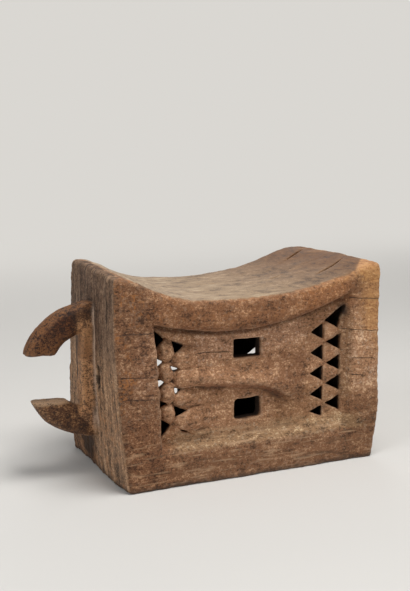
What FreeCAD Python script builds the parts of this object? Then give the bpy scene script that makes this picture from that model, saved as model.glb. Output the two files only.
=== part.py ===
import FreeCAD, Part
import math
import os

# A stool carved from one block of wood, with a saddle seat, a pierced panel in a raised frame
# on its front and its back, solid end walls and an open ring handle on its left end.
# Millimetres. +X runs to the right, +Y to the back, +Z up. The origin is on the floor, at the
# centre of the whole footprint, the handle included.

# The block
body_length = 400.0
body_depth = 224.0
end_height = 292.0
toe_height = 60.0
toe_inset = 8.0
arris_radius = 4.0

# The saddle seat: how far its top sinks, where it is lowest, and where its left side steepens
seat_sag = 38.5
saddle_low_offset = -26.0
saddle_knee_offset = -121.0
saddle_knee_rise = 9.5
crest_width = 18.0
left_crest_radius = 7.0
right_crest_radius = 10.0

# The rolled lip under the seat's long edges: its depth, and where its lower edge is lowest
lip_height = 49.5
lip_low_offset = -45.0
lip_top_bevel = 5.0
lip_bottom_radius = 12.0

# How far below the crests the seat slab sits on the end walls
left_seam_drop = 70.0
right_seam_drop = 45.0

# The frame: posts, sill, and the splay that leads down to the recessed panel
left_post_width = 53.0
right_post_width = 57.0
sill_height = 60.0
frame_splay = 15.0
recess_depth = 20.0
panel_thickness = 20.0

# The front panel, with its two windows, its raised band and its raised boss
window_width = 42.0
window_offset = -2.0
upper_window_height = 25.0
lower_window_height = 28.0
band_height = 24.0
band_relief = 8.0
boss_width = 74.0
boss_relief = 10.0
boss_margin = 3.0

# The fretwork: two staggered columns of triangular holes on each side of a panel.
# The outer column opens against the post, the inner one stands behind the beads.
left_fretwork_width = 61.0
right_fretwork_width = 47.0
outer_hole_length = 18.0
inner_hole_length = 18.0
bead_web = 9.0
outer_hole_count = 4
inner_hole_count = 5

# The back panel has a pair of windows left of its middle and larger triangles on its right
back_right_fretwork_width = 72.0
back_window_width = 41.0
back_window_margin = 7.0
back_triangle_length = 20.0
back_triangle_web = 8.0
back_triangle_border = 16.0
back_triangle_count = 3

# The handle: an upright rib and an open ring whose two horns face each other
ring_outer_radius = 96.5
ring_inner_radius = 56.0
ring_standoff = 7.0
rib_depth = 22.0
handle_thickness = 31.0
handle_edge_bevel = 4.0
upper_horn_gap = 26.0
lower_horn_gap = 41.0

# Shares of the clear height between the sill and the lip's lowest point, measured from the sill
upper_window_share = 0.83
lower_window_share = 0.23
band_share = 0.535
boss_share = 0.47
fretwork_pitch_share = 0.21
hole_half_height_share = 0.066
left_first_outer_share = 0.16
left_first_inner_share = 0.077
right_first_outer_share = 0.177
right_first_inner_share = 0.08
corner_half_height_share = 0.09
left_corner_share = 1.014
right_corner_share = 1.056
back_upper_window_share = 0.47
back_lower_window_share = 0.21
back_window_height_share = 0.188
back_pitch_share = 0.292
back_half_height_share = 0.118
back_first_triangle_share = 0.153

# Shares of other sizes
half_share = 0.5
ring_middle_share = 0.527

half_length = body_length * half_share
half_depth = body_depth * half_share
panel_face = recess_depth - half_depth
left_reveal = left_post_width - half_length
right_reveal = half_length - right_post_width
panel_left = left_reveal + left_fretwork_width
panel_right = right_reveal - right_fretwork_width
back_panel_right = right_reveal - back_right_fretwork_width
boss_middle = panel_right - boss_margin - boss_width * half_share
back_window_middle = panel_left + back_window_margin + back_window_width * half_share
left_seam_height = end_height - left_seam_drop
right_seam_height = end_height - right_seam_drop
saddle_low_height = end_height - seat_sag
lip_low_height = saddle_low_height - lip_height
field_height = lip_low_height - sill_height
ring_middle = end_height * ring_middle_share
upper_horn_end = ring_middle + upper_horn_gap
lower_horn_end = ring_middle - lower_horn_gap
ring_axis = -half_length - ring_standoff
rib_face = -half_length - rib_depth
half_handle = handle_thickness * half_share
horn_tip = math.sqrt(ring_outer_radius * ring_outer_radius - upper_horn_gap * upper_horn_gap)
handle_reach = horn_tip + ring_standoff
body_shift = handle_reach * half_share


def point(x, z):
    """A point on the front face of the block."""
    return FreeCAD.Vector(x, -half_depth, z)


def in_field(share):
    """A height between the sill and the lip's lowest point."""
    return sill_height + field_height * share


def line(start, end):
    return Part.LineSegment(start, end).toShape()


def rising_arc(start, slope, end):
    """An arc on the front face that leaves start along the direction slope and reaches end."""
    ahead = FreeCAD.Vector(slope).normalize()
    across = FreeCAD.Vector(-ahead.z, 0, ahead.x)
    chord = end - start
    radius = chord.dot(chord) / (chord.dot(across) * 2.0)
    centre = start + across * radius
    outward = (start - centre).normalize() + (end - centre).normalize()
    middle = centre + outward.normalize() * abs(radius)
    return Part.Arc(start, middle, end).toShape()


def corner_arc(start, end, centre, radius):
    """A quarter round from start to end that bulges away from its centre."""
    outward = start + end - centre * 2.0
    return Part.Arc(start, centre + outward.normalize() * radius, end).toShape()


def block(x_from, x_to, y_from, y_to, z_from, z_to):
    corner = FreeCAD.Vector(x_from, y_from, z_from)
    return Part.makeBox(x_to - x_from, y_to - y_from, z_to - z_from, corner)


def across_depth(edges):
    """The solid that a closed outline on the front face sweeps to the back face."""
    face = Part.Face(Part.Wire(edges))
    return face.extrude(FreeCAD.Vector(0, body_depth, 0))


def saddle_arcs(left_end, right_end):
    """The seat's top: a tight arc off the left crest, then two long arcs either side of the dip."""
    level = FreeCAD.Vector(1, 0, 0)
    low = point(saddle_low_offset, saddle_low_height)
    knee = point(saddle_knee_offset, saddle_low_height + saddle_knee_rise)
    inner = rising_arc(low, -level, knee)
    run = low.x - knee.x
    radius = (run * run + saddle_knee_rise * saddle_knee_rise) / (saddle_knee_rise * 2.0)
    knee_slope = FreeCAD.Vector(-(radius - saddle_knee_rise), 0, run)
    outer = rising_arc(knee, knee_slope, left_end)
    return [outer, inner, rising_arc(low, level, right_end)]


def lip_arcs(left_end, right_end):
    """The lip's lower edge: two arcs that meet level at its lowest point."""
    level = FreeCAD.Vector(1, 0, 0)
    low = point(lip_low_offset, lip_low_height)
    return [rising_arc(low, level, right_end), rising_arc(low, -level, left_end)]


def seat_slab():
    """The seat with square long edges, standing on the end walls along its two seams."""
    left_crest = end_height - left_crest_radius
    right_crest = end_height - right_crest_radius
    crest_start = left_crest_radius - half_length
    crest_end = half_length - right_crest_radius
    saddle_start = point(crest_width - half_length, end_height)
    saddle_end = point(crest_end, end_height)
    lip_right = point(right_reveal + frame_splay, right_seam_height)
    lip_left = point(left_reveal, left_seam_height)
    left_foot = point(-half_length, left_seam_height)
    right_foot = point(half_length, right_seam_height)
    edges = [
        line(left_foot, point(-half_length, left_crest)),
        corner_arc(point(-half_length, left_crest), point(crest_start, end_height),
                   point(crest_start, left_crest), left_crest_radius),
        line(point(crest_start, end_height), saddle_start),
        corner_arc(saddle_end, point(half_length, right_crest),
                   point(crest_end, right_crest), right_crest_radius),
        line(point(half_length, right_crest), right_foot),
        line(right_foot, lip_right),
        line(lip_left, left_foot),
    ]
    edges += saddle_arcs(saddle_start, saddle_end)
    edges += lip_arcs(lip_left, lip_right)
    return across_depth(Part.__sortEdges__(edges))


def long_arcs(slab, y, low_side):
    """The curved edges of the seat on the face at y, of its lip or of its saddle."""
    found = []
    for edge in slab.Edges:
        box = edge.BoundBox
        on_face = abs(box.YMin - y) < arris_radius and abs(box.YMax - y) < arris_radius
        curved = isinstance(edge.Curve, Part.Circle) and edge.Curve.Radius > half_depth
        middle = edge.CenterOfMass.z
        below = middle < (saddle_low_height + lip_low_height) * half_share
        along = box.XLength > lip_height and edge.CenterOfMass.x > left_reveal
        if on_face and curved and along and below == low_side:
            found.append(edge)
    return found


def seat():
    """Saddle slab with the crests of the end walls: lips rolled below and bevelled above."""
    slab = seat_slab()
    for y in (-half_depth, half_depth):
        slab = slab.makeFillet(lip_bottom_radius, long_arcs(slab, y, True))
        slab = slab.makeChamfer(lip_top_bevel, long_arcs(slab, y, False))
    return slab


def under_seat():
    """Everything between the floor and the seat's underside, over the whole depth."""
    lip_right = point(right_reveal + frame_splay, right_seam_height)
    lip_left = point(left_reveal, left_seam_height)
    floor_right = point(lip_right.x, 0)
    floor_left = point(lip_left.x, 0)
    edges = lip_arcs(lip_left, lip_right)
    edges += [line(lip_left, floor_left), line(floor_left, floor_right), line(floor_right, lip_right)]
    return across_depth(Part.__sortEdges__(edges))


def soften_arrises(wall, outer_x):
    """Round the two upright corners of an end wall."""
    uprights = []
    for edge in wall.Edges:
        box = edge.BoundBox
        outside = abs(box.XMax - outer_x) < arris_radius and abs(box.XMin - outer_x) < arris_radius
        if outside and box.YLength < arris_radius and box.ZLength > arris_radius:
            uprights.append(edge)
    return wall.makeFillet(arris_radius, uprights)


def recess(side):
    """The splayed pocket in front of a panel. side is -1 for the front and 1 for the back."""
    mouth_right = right_reveal + frame_splay
    mouth_low = sill_height - frame_splay
    mouth = [(left_reveal, mouth_low), (mouth_right, mouth_low),
             (mouth_right, end_height), (left_reveal, end_height)]
    floor = [(left_reveal, sill_height), (right_reveal, sill_height),
             (right_reveal, end_height), (left_reveal, end_height)]
    wires = []
    for corners, depth in ((mouth, half_depth), (floor, half_depth - recess_depth)):
        ring = [FreeCAD.Vector(x, side * depth, z) for x, z in corners]
        wires.append(Part.makePolygon(ring + ring[:1]))
    return Part.makeLoft(wires, True, True)


def end_wall(outer_x, inner_x, top, inset):
    """A solid end wall whose foot draws in by inset over its last stretch."""
    wall = across_depth([
        line(point(outer_x + inset, 0), point(inner_x, 0)),
        line(point(inner_x, 0), point(inner_x, top)),
        line(point(inner_x, top), point(outer_x, top)),
        line(point(outer_x, top), point(outer_x, toe_height)),
        line(point(outer_x, toe_height), point(outer_x + inset, 0)),
    ])
    return soften_arrises(wall, outer_x)


def left_end_wall():
    return end_wall(-half_length, left_reveal, left_seam_height, toe_inset)


def right_end_wall():
    wall = end_wall(half_length, right_reveal, right_seam_height, -toe_inset)
    wall = wall.cut(seat_slab())
    return wall.cut(recess(-1)).cut(recess(1))


def sill(side):
    """Lower rail of a frame, from end wall to end wall, its upper arris splayed away."""
    inner = side * (half_depth - recess_depth - panel_thickness)
    outer = side * half_depth
    rail = block(left_reveal, right_reveal, min(inner, outer), max(inner, outer), 0, sill_height)
    return rail.cut(recess(side))


def plate(x_from, x_to, side):
    """A piece of a panel that reaches from the sill to the underside of the seat."""
    outer = side * (half_depth - recess_depth)
    inner = outer - side * panel_thickness
    board = block(x_from, x_to, min(inner, outer), max(inner, outer), sill_height, end_height)
    return board.common(under_seat())


def window(middle_x, middle_z, width, height):
    half_width = width * half_share
    half_height = height * half_share
    return block(middle_x - half_width, middle_x + half_width, -half_depth, half_depth,
                 middle_z - half_height, middle_z + half_height)


def raised_band():
    """Round-backed band across the front panel, from the left fretwork into the boss."""
    start_x = panel_left
    middle_z = in_field(band_share)
    half_band = band_height * half_share
    low = FreeCAD.Vector(start_x, panel_face, middle_z - half_band)
    high = FreeCAD.Vector(start_x, panel_face, middle_z + half_band)
    crown = FreeCAD.Vector(start_x, panel_face - band_relief, middle_z)
    root_low = low + FreeCAD.Vector(0, band_relief, 0)
    root_high = high + FreeCAD.Vector(0, band_relief, 0)
    section = Part.Wire([Part.Arc(low, crown, high).toShape(), line(high, root_high),
                         line(root_high, root_low), line(root_low, low)])
    return Part.Face(section).extrude(FreeCAD.Vector(boss_middle - start_x, 0, 0))


def raised_boss():
    """Low round boss at the right end of the band: the cap of a large ball."""
    half_boss = boss_width * half_share
    ball_radius = (half_boss * half_boss + boss_relief * boss_relief) / (boss_relief + boss_relief)
    middle_z = in_field(boss_share)
    centre = FreeCAD.Vector(boss_middle, panel_face - boss_relief + ball_radius, middle_z)
    keep = block(boss_middle - half_boss, boss_middle + half_boss,
                 panel_face - boss_relief, panel_face + panel_thickness * half_share,
                 middle_z - half_boss, middle_z + half_boss)
    return Part.makeSphere(ball_radius, centre).common(keep)


def front_panel():
    board = plate(panel_left, panel_right, -1)
    board = board.fuse([raised_band(), raised_boss()]).removeSplitter()
    upper = window(window_offset, in_field(upper_window_share), window_width, upper_window_height)
    lower = window(window_offset, in_field(lower_window_share), window_width, lower_window_height)
    sides = block(panel_left, panel_right, -half_depth, half_depth, 0, end_height)
    return board.common(sides).cut(upper).cut(lower)


def back_panel():
    board = plate(panel_left, back_panel_right, 1)
    height = field_height * back_window_height_share
    for share in (back_upper_window_share, back_lower_window_share):
        board = board.cut(window(back_window_middle, in_field(share), back_window_width, height))
    return board


def triangle(tip_x, base_x, middle_share, half_height_share):
    """A three-cornered hole through the block, its tip level with its middle."""
    tip = point(tip_x, in_field(middle_share))
    low = point(base_x, in_field(middle_share - half_height_share))
    high = point(base_x, in_field(middle_share + half_height_share))
    return across_depth([line(tip, low), line(low, high), line(high, tip)])


def fretwork(x_from, x_to, side, post_x, toward_panel, first_outer_share, first_inner_share, corner_share):
    """Two staggered columns of triangles. toward_panel is the sign of X from post to panel."""
    outer_tip = post_x + toward_panel * outer_hole_length
    inner_base = outer_tip + toward_panel * bead_web
    inner_tip = inner_base + toward_panel * inner_hole_length
    holes = [triangle(outer_tip, post_x, corner_share, corner_half_height_share)]
    for number in range(outer_hole_count):
        middle_share = first_outer_share + fretwork_pitch_share * number
        holes.append(triangle(outer_tip, post_x, middle_share, hole_half_height_share))
    for number in range(inner_hole_count):
        middle_share = first_inner_share + fretwork_pitch_share * number
        holes.append(triangle(inner_tip, inner_base, middle_share, hole_half_height_share))
    return plate(x_from, x_to, side).cut(holes)


def left_fretwork(side):
    return fretwork(left_reveal, panel_left, side, left_reveal, 1,
                    left_first_outer_share, left_first_inner_share, left_corner_share)


def front_right_fretwork():
    return fretwork(panel_right, right_reveal, -1, right_reveal, -1,
                    right_first_outer_share, right_first_inner_share, right_corner_share)


def back_right_fretwork():
    """Larger triangles in two staggered columns, with a plain border along the post."""
    outer_base = right_reveal - back_triangle_border
    outer_tip = outer_base - back_triangle_length
    inner_base = outer_tip - back_triangle_web
    inner_tip = inner_base - back_triangle_length
    holes = []
    for number in range(back_triangle_count):
        inner_share = back_first_triangle_share + back_pitch_share * number
        outer_share = inner_share + back_pitch_share * half_share
        holes.append(triangle(inner_tip, inner_base, inner_share, back_half_height_share))
        holes.append(triangle(outer_tip, outer_base, outer_share, back_half_height_share))
    return plate(back_panel_right, right_reveal, 1).cut(holes)


def ring_disc(radius):
    start = FreeCAD.Vector(ring_axis, -half_handle, ring_middle)
    return Part.makeCylinder(radius, handle_thickness, start, FreeCAD.Vector(0, 1, 0))


def ring():
    """The whole ring of the handle, its four round edges bevelled."""
    band = ring_disc(ring_outer_radius).cut(ring_disc(ring_inner_radius))
    rims = [edge for edge in band.Edges if edge.BoundBox.YLength < handle_edge_bevel]
    return band.makeChamfer(handle_edge_bevel, rims)


def horn(z_from, z_to):
    """The part of the ring that stands out past the rib between two heights."""
    reach = ring_axis - ring_outer_radius
    return ring().common(block(reach, rib_face, -half_handle, half_handle, z_from, z_to))


def handle_rib():
    slab = block(rib_face, -half_length, -half_handle, half_handle, 0, end_height)
    return ring_disc(ring_outer_radius).common(slab)


def pieces():
    return {
        "seat": seat(),
        "left_end_wall": left_end_wall(),
        "right_end_wall": right_end_wall(),
        "front_sill": sill(-1),
        "back_sill": sill(1),
        "front_panel": front_panel(),
        "front_left_fretwork": left_fretwork(-1),
        "front_right_fretwork": front_right_fretwork(),
        "back_panel": back_panel(),
        "back_left_fretwork": left_fretwork(1),
        "back_right_fretwork": back_right_fretwork(),
        "handle_rib": handle_rib(),
        "upper_horn": horn(upper_horn_end, ring_middle + ring_outer_radius),
        "lower_horn": horn(ring_middle - ring_outer_radius, lower_horn_end),
    }


def main():
    os.makedirs("parts", exist_ok=True)
    shift = FreeCAD.Vector(body_shift, 0, 0)
    for name, shape in pieces().items():
        shape.translate(shift)
        shape.exportStep("parts/" + name + ".step")
        print(name, "solids", len(shape.Solids), "valid", shape.isValid(), "volume", round(shape.Volume))


main()
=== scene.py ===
# %% [markdown]
# # A stool carved from one block
# The real stool is a single block of weathered hardwood: a saddle seat, solid end walls, a
# pierced panel in a raised frame on the front and the back, and an open ring handle. Nothing is
# joined, so the pieces below are cut from one carved surface and meet without a seam.

# %% Load the construction model
import math
from functools import reduce

import bmesh
import bpy
import numpy as np
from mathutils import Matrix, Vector


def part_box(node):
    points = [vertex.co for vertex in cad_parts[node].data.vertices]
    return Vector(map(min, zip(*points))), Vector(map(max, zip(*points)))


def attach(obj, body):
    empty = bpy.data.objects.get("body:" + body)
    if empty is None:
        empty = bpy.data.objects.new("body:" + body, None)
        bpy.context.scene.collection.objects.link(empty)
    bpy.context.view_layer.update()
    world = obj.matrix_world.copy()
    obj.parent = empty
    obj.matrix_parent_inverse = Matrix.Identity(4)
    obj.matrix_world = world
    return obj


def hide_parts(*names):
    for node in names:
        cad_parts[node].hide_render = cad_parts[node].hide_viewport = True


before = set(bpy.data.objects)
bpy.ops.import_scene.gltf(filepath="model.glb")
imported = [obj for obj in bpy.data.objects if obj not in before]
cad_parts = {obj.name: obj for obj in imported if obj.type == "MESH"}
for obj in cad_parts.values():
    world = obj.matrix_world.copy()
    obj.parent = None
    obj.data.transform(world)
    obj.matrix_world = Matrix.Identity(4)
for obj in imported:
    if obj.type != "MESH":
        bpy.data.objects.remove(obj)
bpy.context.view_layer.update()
MM = 0.001
print("nodes:", sorted(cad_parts))

# %% [markdown]
# ## The block's own sizes
# The real block was squared with an adze before it was carved, so its length, depth and height
# are the sizes to start from. They could be typed in, but reading them from the construction
# model keeps both models the same size.

# %% Measure the block that everything is placed from
seat_low, seat_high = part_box("seat")
rib_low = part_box("handle_rib")[0]
block_middle_x = (seat_low[0] + seat_high[0]) / 2
half_length = (seat_high[0] - seat_low[0]) / 2 / MM
half_depth = (seat_high[1] - seat_low[1]) / 2 / MM
crest_height = seat_high[2] / MM
print("block, mm:", half_length * 2, half_depth * 2, crest_height)

# %% [markdown]
# ## Camera
# The photograph was taken from the front left, a little above the seat. A camera fitted to the
# block's corners gives the place, the turn and the lens, all written here as real sizes: the
# picture is 591 pixels high and the focal length is 950 of them.

# %% Place the camera at the photograph's viewpoint
PICTURE_HEIGHT = 591
FOCAL_PIXELS = 950.0
SENSOR = 36.0
camera_turn = math.radians(24.6)
camera_dip = math.radians(9.4)
camera_place = Vector((block_middle_x - 0.596, -1.244, 0.468))

camera_data = bpy.data.cameras.new("photo_camera")
camera_data.sensor_width = SENSOR
camera_data.lens = FOCAL_PIXELS / PICTURE_HEIGHT * SENSOR
camera = bpy.data.objects.new("photo_camera", camera_data)
bpy.context.scene.collection.objects.link(camera)
camera.location = camera_place
camera.rotation_euler = (math.pi / 2 - camera_dip, 0, -camera_turn)
bpy.context.scene.camera = camera
bpy.context.scene.view_settings.view_transform = "Standard"
print("camera at", [round(v, 3) for v in camera_place])

# %% [markdown]
# ## Nodes in one line
# Every finish and every shape below is a tree of nodes. A node always takes the same steps: add
# it, choose what it does, fill its sockets. They could be spelled out each time, but with one
# helper a node stays on one line, and the line shows what is connected to what.

# %% Helpers that add a node
def plug(value, socket):
    """A node's output is linked to the socket, and a plain number or colour is written on it."""
    value = getattr(value, "socket", value)
    if isinstance(value, bpy.types.NodeSocket):
        socket.id_data.links.new(value, socket)
    else:
        socket.default_value = value


def add_node(tree, kind, operation=None, inputs=None):
    """A new node, its sockets filled by name or by number."""
    node = tree.nodes.new(kind)
    if operation:
        node.operation = operation
    for name, value in (inputs or {}).items():
        plug(value, node.inputs[name])
    return node


def worked_out(tree, operation, *values):
    """What a maths node makes of the values."""
    return add_node(tree, "ShaderNodeMath", operation, dict(enumerate(values))).outputs[0]


def stepped(tree, value, start, end):
    """Rises smoothly from 0 to 1 as the value goes from start to end."""
    node = add_node(tree, "ShaderNodeMapRange", None,
                    {"Value": value, "From Min": start, "From Max": end})
    node.interpolation_type = "SMOOTHSTEP"
    return node.outputs["Result"]


print("helpers: plug, add_node, worked_out, stepped")

# %% [markdown]
# ## Studio paper
# The stool stands alone on a plain pale ground. A sweep of paper that bends up behind it gives
# that without a horizon. A floor and an upright backdrop would do too, but the line between
# them would show.

# %% Floor that sweeps up behind the stool
BEND_START, BEND_RADIUS, BEND_STEPS = 2.2, 1.6, 16
PAPER_FRONT, PAPER_TOP, PAPER_HALF_WIDTH = -4.0, 5.0, 7.0


def paper_sweep():
    """A floor that bends up into a backdrop, so that the picture has no horizon."""
    profile = [(PAPER_FRONT, 0.0)]
    for step in range(BEND_STEPS + 1):
        angle = math.pi / 2 * step / BEND_STEPS
        profile.append((BEND_START + BEND_RADIUS * math.sin(angle),
                        BEND_RADIUS * (1 - math.cos(angle))))
    profile.append((BEND_START + BEND_RADIUS, PAPER_TOP))
    mesh = bpy.data.meshes.new("paper_sweep")
    verts = [(side * PAPER_HALF_WIDTH, y, z) for y, z in profile for side in (-1, 1)]
    faces = [(2 * n, 2 * n + 1, 2 * n + 3, 2 * n + 2) for n in range(len(profile) - 1)]
    mesh.from_pydata(verts, [], faces)
    mesh.shade_smooth()
    sweep = bpy.data.objects.new("paper_sweep", mesh)
    bpy.context.scene.collection.objects.link(sweep)
    return sweep


floor = paper_sweep()
print("paper:", len(floor.data.polygons), "faces, bend of", BEND_RADIUS, "m")

# %% [markdown]
# ## Colour of the paper
# The paper is a little darker to the eye than to the light that bounces off it, so that it fills
# the stool's underside and still does not burn out. Far from the stool, where the lamps fade, it
# glows evenly for whoever looks at it. Stronger lamps would brighten it too, but they would
# bleach the wood.

# %% Paper for the light and for the eye
PAPER_LIT = (0.80, 0.79, 0.77, 1.0)
PAPER_SEEN = (0.57, 0.562, 0.547, 1.0)
PAPER_FAR = (0.70, 0.68, 0.645, 1.0)
PAPER_ROUGHNESS = 0.9
FAR_BEHIND = (0.5, 2.6)
FAR_ALL_ROUND = (1.7, 3.5)


def paper_material():
    """Lit paper near the stool, and far away an even glow that only eyes and gloss see."""
    material = bpy.data.materials.new("pale_paper")
    material.use_nodes = True
    tree = material.node_tree
    shader = tree.nodes["Principled BSDF"]
    path = tree.nodes.new("ShaderNodeLightPath").outputs
    place = tree.nodes.new("ShaderNodeTexCoord").outputs["Object"]
    colour = add_node(tree, "ShaderNodeMixRGB", None, {
        "Fac": path["Is Camera Ray"], "Color1": PAPER_LIT, "Color2": PAPER_SEEN})
    plug(colour.outputs[0], shader.inputs["Base Color"])
    plug(PAPER_ROUGHNESS, shader.inputs["Roughness"])
    in_gloss = worked_out(tree, "MAXIMUM", path["Is Glossy Ray"], path["Is Transmission Ray"])
    seen = worked_out(tree, "MAXIMUM", path["Is Camera Ray"], in_gloss)
    depth = add_node(tree, "ShaderNodeSeparateXYZ", None, {0: place}).outputs["Y"]
    distance = add_node(tree, "ShaderNodeVectorMath", "LENGTH", {0: place}).outputs["Value"]
    far = worked_out(tree, "MAXIMUM", stepped(tree, depth, *FAR_BEHIND),
                     stepped(tree, distance, *FAR_ALL_ROUND))
    glow = add_node(tree, "ShaderNodeEmission", None, {"Color": PAPER_FAR})
    mix = add_node(tree, "ShaderNodeMixShader", None, {
        0: worked_out(tree, "MULTIPLY", seen, far), 1: shader.outputs[0], 2: glow.outputs[0]})
    plug(mix.outputs[0], tree.nodes["Material Output"].inputs["Surface"])
    return material


floor.data.materials.append(paper_material())
print("paper: lit as", PAPER_LIT[:3], "and seen as", PAPER_SEEN[:3])

# %% [markdown]
# ## Sky
# A little light reaches any real thing from every side. A world of an even, weak white does the
# same. A picture wrapped round the scene could light it too, but it would show in the gloss.
# A view past the paper shows the sky in the paper's colour.

# %% Weak light from all sides
SKY_COLOUR, SKY_STRENGTH = (1.0, 0.99, 0.97, 1.0), 0.28

world = bpy.data.worlds.new("studio")
bpy.context.scene.world = world
world.use_nodes = True
sky_tree = world.node_tree
sky = sky_tree.nodes["Background"]
plug(SKY_COLOUR, sky.inputs["Color"])
plug(SKY_STRENGTH, sky.inputs["Strength"])
sky_seen = add_node(sky_tree, "ShaderNodeBackground", None, {"Color": PAPER_FAR})
who_looks = sky_tree.nodes.new("ShaderNodeLightPath")
sky_mix = add_node(sky_tree, "ShaderNodeMixShader", None, {
    0: who_looks.outputs["Is Camera Ray"], 1: sky.outputs[0], 2: sky_seen.outputs[0]})
plug(sky_mix.outputs[0], sky_tree.nodes["World Output"].inputs["Surface"])
print("sky:", SKY_STRENGTH, "strong")

# %% [markdown]
# ## Lamps
# The light in the photograph is soft and comes from above. One wide soft lamp overhead gives the
# form its light side, a weaker one on the left opens the shadows, and a small one behind
# separates the crest from the paper. Hard lamps would draw shadows that the photograph lacks.

# %% Three soft lamps
LAMP_AIM = Vector((block_middle_x, 0, 0.15))
# Each lamp's name, place and width in metres, power in watts, and colour
LAMPS = (("overhead_lamp", (0.3, -0.7, 2.5), 1.1, 64.0, (1.0, 0.98, 0.95)),
         ("left_lamp", (-2.2, -0.9, 1.9), 1.4, 22.0, (0.96, 0.98, 1.0)),
         ("back_lamp", (0.9, 2.2, 1.9), 1.2, 10.0, (1.0, 0.99, 0.97)))


def soft_lamp(name, place, width, watts, tint):
    """A square soft box that looks at the middle of the stool."""
    data = bpy.data.lights.new(name, "AREA")
    data.size = width
    data.energy = watts
    data.color = tint
    lamp = bpy.data.objects.new(name, data)
    bpy.context.scene.collection.objects.link(lamp)
    lamp.location = place
    lamp.rotation_euler = (LAMP_AIM - Vector(place)).to_track_quat("-Z", "Y").to_euler()


for lamp_sizes in LAMPS:
    soft_lamp(*lamp_sizes)
print("lamps:", [(lamp.name, lamp.energy) for lamp in bpy.data.lights])

# %% [markdown]
# ## Shapes as distances
# The block is described by one number at every place in space: the distance to the wood's
# surface, negative inside. Two such numbers are joined with a smooth minimum or cut with a
# smooth maximum, and the width of the smoothing is how far an edge has worn round. Geometry
# Nodes work the number out with maths nodes, and the small class below only makes those nodes
# easy to write as a formula.

# %% A number that varies through space
carving = bpy.data.node_groups.new("stool_carving", "GeometryNodeTree")
carving.interface.new_socket(name="Mesh", in_out="OUTPUT", socket_type="NodeSocketGeometry")
carving_in = carving.nodes.new("NodeGroupInput")
settings = {}


class Field:
    """The output of a maths node. Python's signs between fields add further nodes."""

    tree = carving

    def __init__(self, socket):
        self.socket = socket

    def __neg__(self):
        return maths("MULTIPLY", self, -1.0)


def maths(operation, *values):
    return Field(worked_out(Field.tree, operation, *values))


def give_sign(sign, operation):
    """Teaches fields one of Python's signs, with a field or a number on either side."""
    setattr(Field, f"__{sign}__", lambda left, right: maths(operation, left, right))
    setattr(Field, f"__r{sign}__", lambda left, right: maths(operation, right, left))


for sign, operation in (("add", "ADD"), ("sub", "SUBTRACT"), ("mul", "MULTIPLY"),
                        ("truediv", "DIVIDE")):
    give_sign(sign, operation)


def made(what):
    """Says how far the tree has grown after a step."""
    print(f"{what}: {len(Field.tree.nodes)} nodes so far")


def named_input(name, value):
    """A size that the tree takes by its name. The value is written on the modifier later."""
    kind = "NodeSocketInt" if isinstance(value, int) else "NodeSocketFloat"
    socket = carving.interface.new_socket(name=name, in_out="INPUT", socket_type=kind)
    settings[socket.identifier] = value
    return Field(carving_in.outputs[name])


made("a number that varies through space")

# %% [markdown]
# ## Joining and cutting
# A carver only ever takes wood away or leaves it standing. With distances, taking away is the
# larger of two numbers and leaving both is the smaller one. Booleans on meshes do the same with
# hard edges, but a smooth maximum wears the edge round in the same step.

# %% Join, cut and measure
def largest(*fields):
    return reduce(lambda first, second: maths("MAXIMUM", first, second), fields)


def smallest(*fields):
    return reduce(lambda first, second: maths("MINIMUM", first, second), fields)


def join(first, second, softness):
    return maths("SMOOTH_MIN", first, second, softness)


def cut(body, tool, softness):
    return maths("SMOOTH_MAX", body, -tool, softness)


def meet(first, second, softness):
    return maths("SMOOTH_MAX", first, second, softness)


def magnitude(field):
    return maths("ABSOLUTE", field)


def power(base, exponent):
    """A power that is 0 where its base is negative, of a field or of a plain number."""
    if isinstance(base, Field):
        return maths("POWER", maths("MAXIMUM", base, 0.0), exponent)
    return max(base, 0.0) ** exponent


def length_of(*fields):
    """The length of an arrow whose parts are the fields."""
    squares = [field * field for field in fields]
    return maths("SQRT", reduce(lambda first, second: first + second, squares))


print("joining helpers: largest, smallest, join, cut, meet, magnitude, power, length_of")

# %% [markdown]
# ## Soft steps and rounded boxes
# Most features fade in and out, as a knife stroke does. A Map Range node makes such a soft step,
# and two of them make a hump. The windows, the bar of the ring and the hollow are boxes with
# round corners, so their distance is written once and used for all of them.

# %% Steps, humps and boxes
def ramp(field, start, end, low=0.0, high=1.0, style="SMOOTHSTEP"):
    """Runs from low to high as the field goes from start to end, and stays level outside."""
    node = add_node(Field.tree, "ShaderNodeMapRange", None, {
        "Value": field, "From Min": start, "From Max": end, "To Min": low, "To Max": high})
    node.interpolation_type = style
    return Field(node.outputs["Result"])


def hump(field, middle, reach):
    """1 at the middle, falling smoothly to 0 at that reach on both sides."""
    return ramp(magnitude(field - middle), reach, 0.0)


def rounded_box(fields, halves, radius):
    """Distance to a box around zero in two directions, its corners rounded."""
    over = [magnitude(field) - (half - radius) for field, half in zip(fields, halves)]
    squares = [power(value, 2.0) for value in over]
    outside = maths("SQRT", squares[0] + squares[1])
    return outside + smallest(largest(*over), 0.0) - radius


print("shape helpers: ramp, hump, rounded_box")

# %% [markdown]
# ## Noise
# Grain, dents and stains are all noise of some size, stretched along the wood. One helper gives
# every noise the same range, so that the number after it is simply its reach in millimetres. The
# seed is an input of the tree, and with the same seed the stool is the same each time.

# %% Vectors and noise
seed = named_input("Seed", 0)


def vector_of(x, y, z):
    return add_node(Field.tree, "ShaderNodeCombineXYZ", None, {0: x, 1: y, 2: z}).outputs[0]


def axes(vector):
    split_up = add_node(Field.tree, "ShaderNodeSeparateXYZ", None, {0: vector})
    return [Field(output) for output in split_up.outputs]


def vector_maths(operation, *values):
    """The node that works on three numbers at once; the result is its first output."""
    return add_node(Field.tree, "ShaderNodeVectorMath", operation, dict(enumerate(values)))


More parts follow.
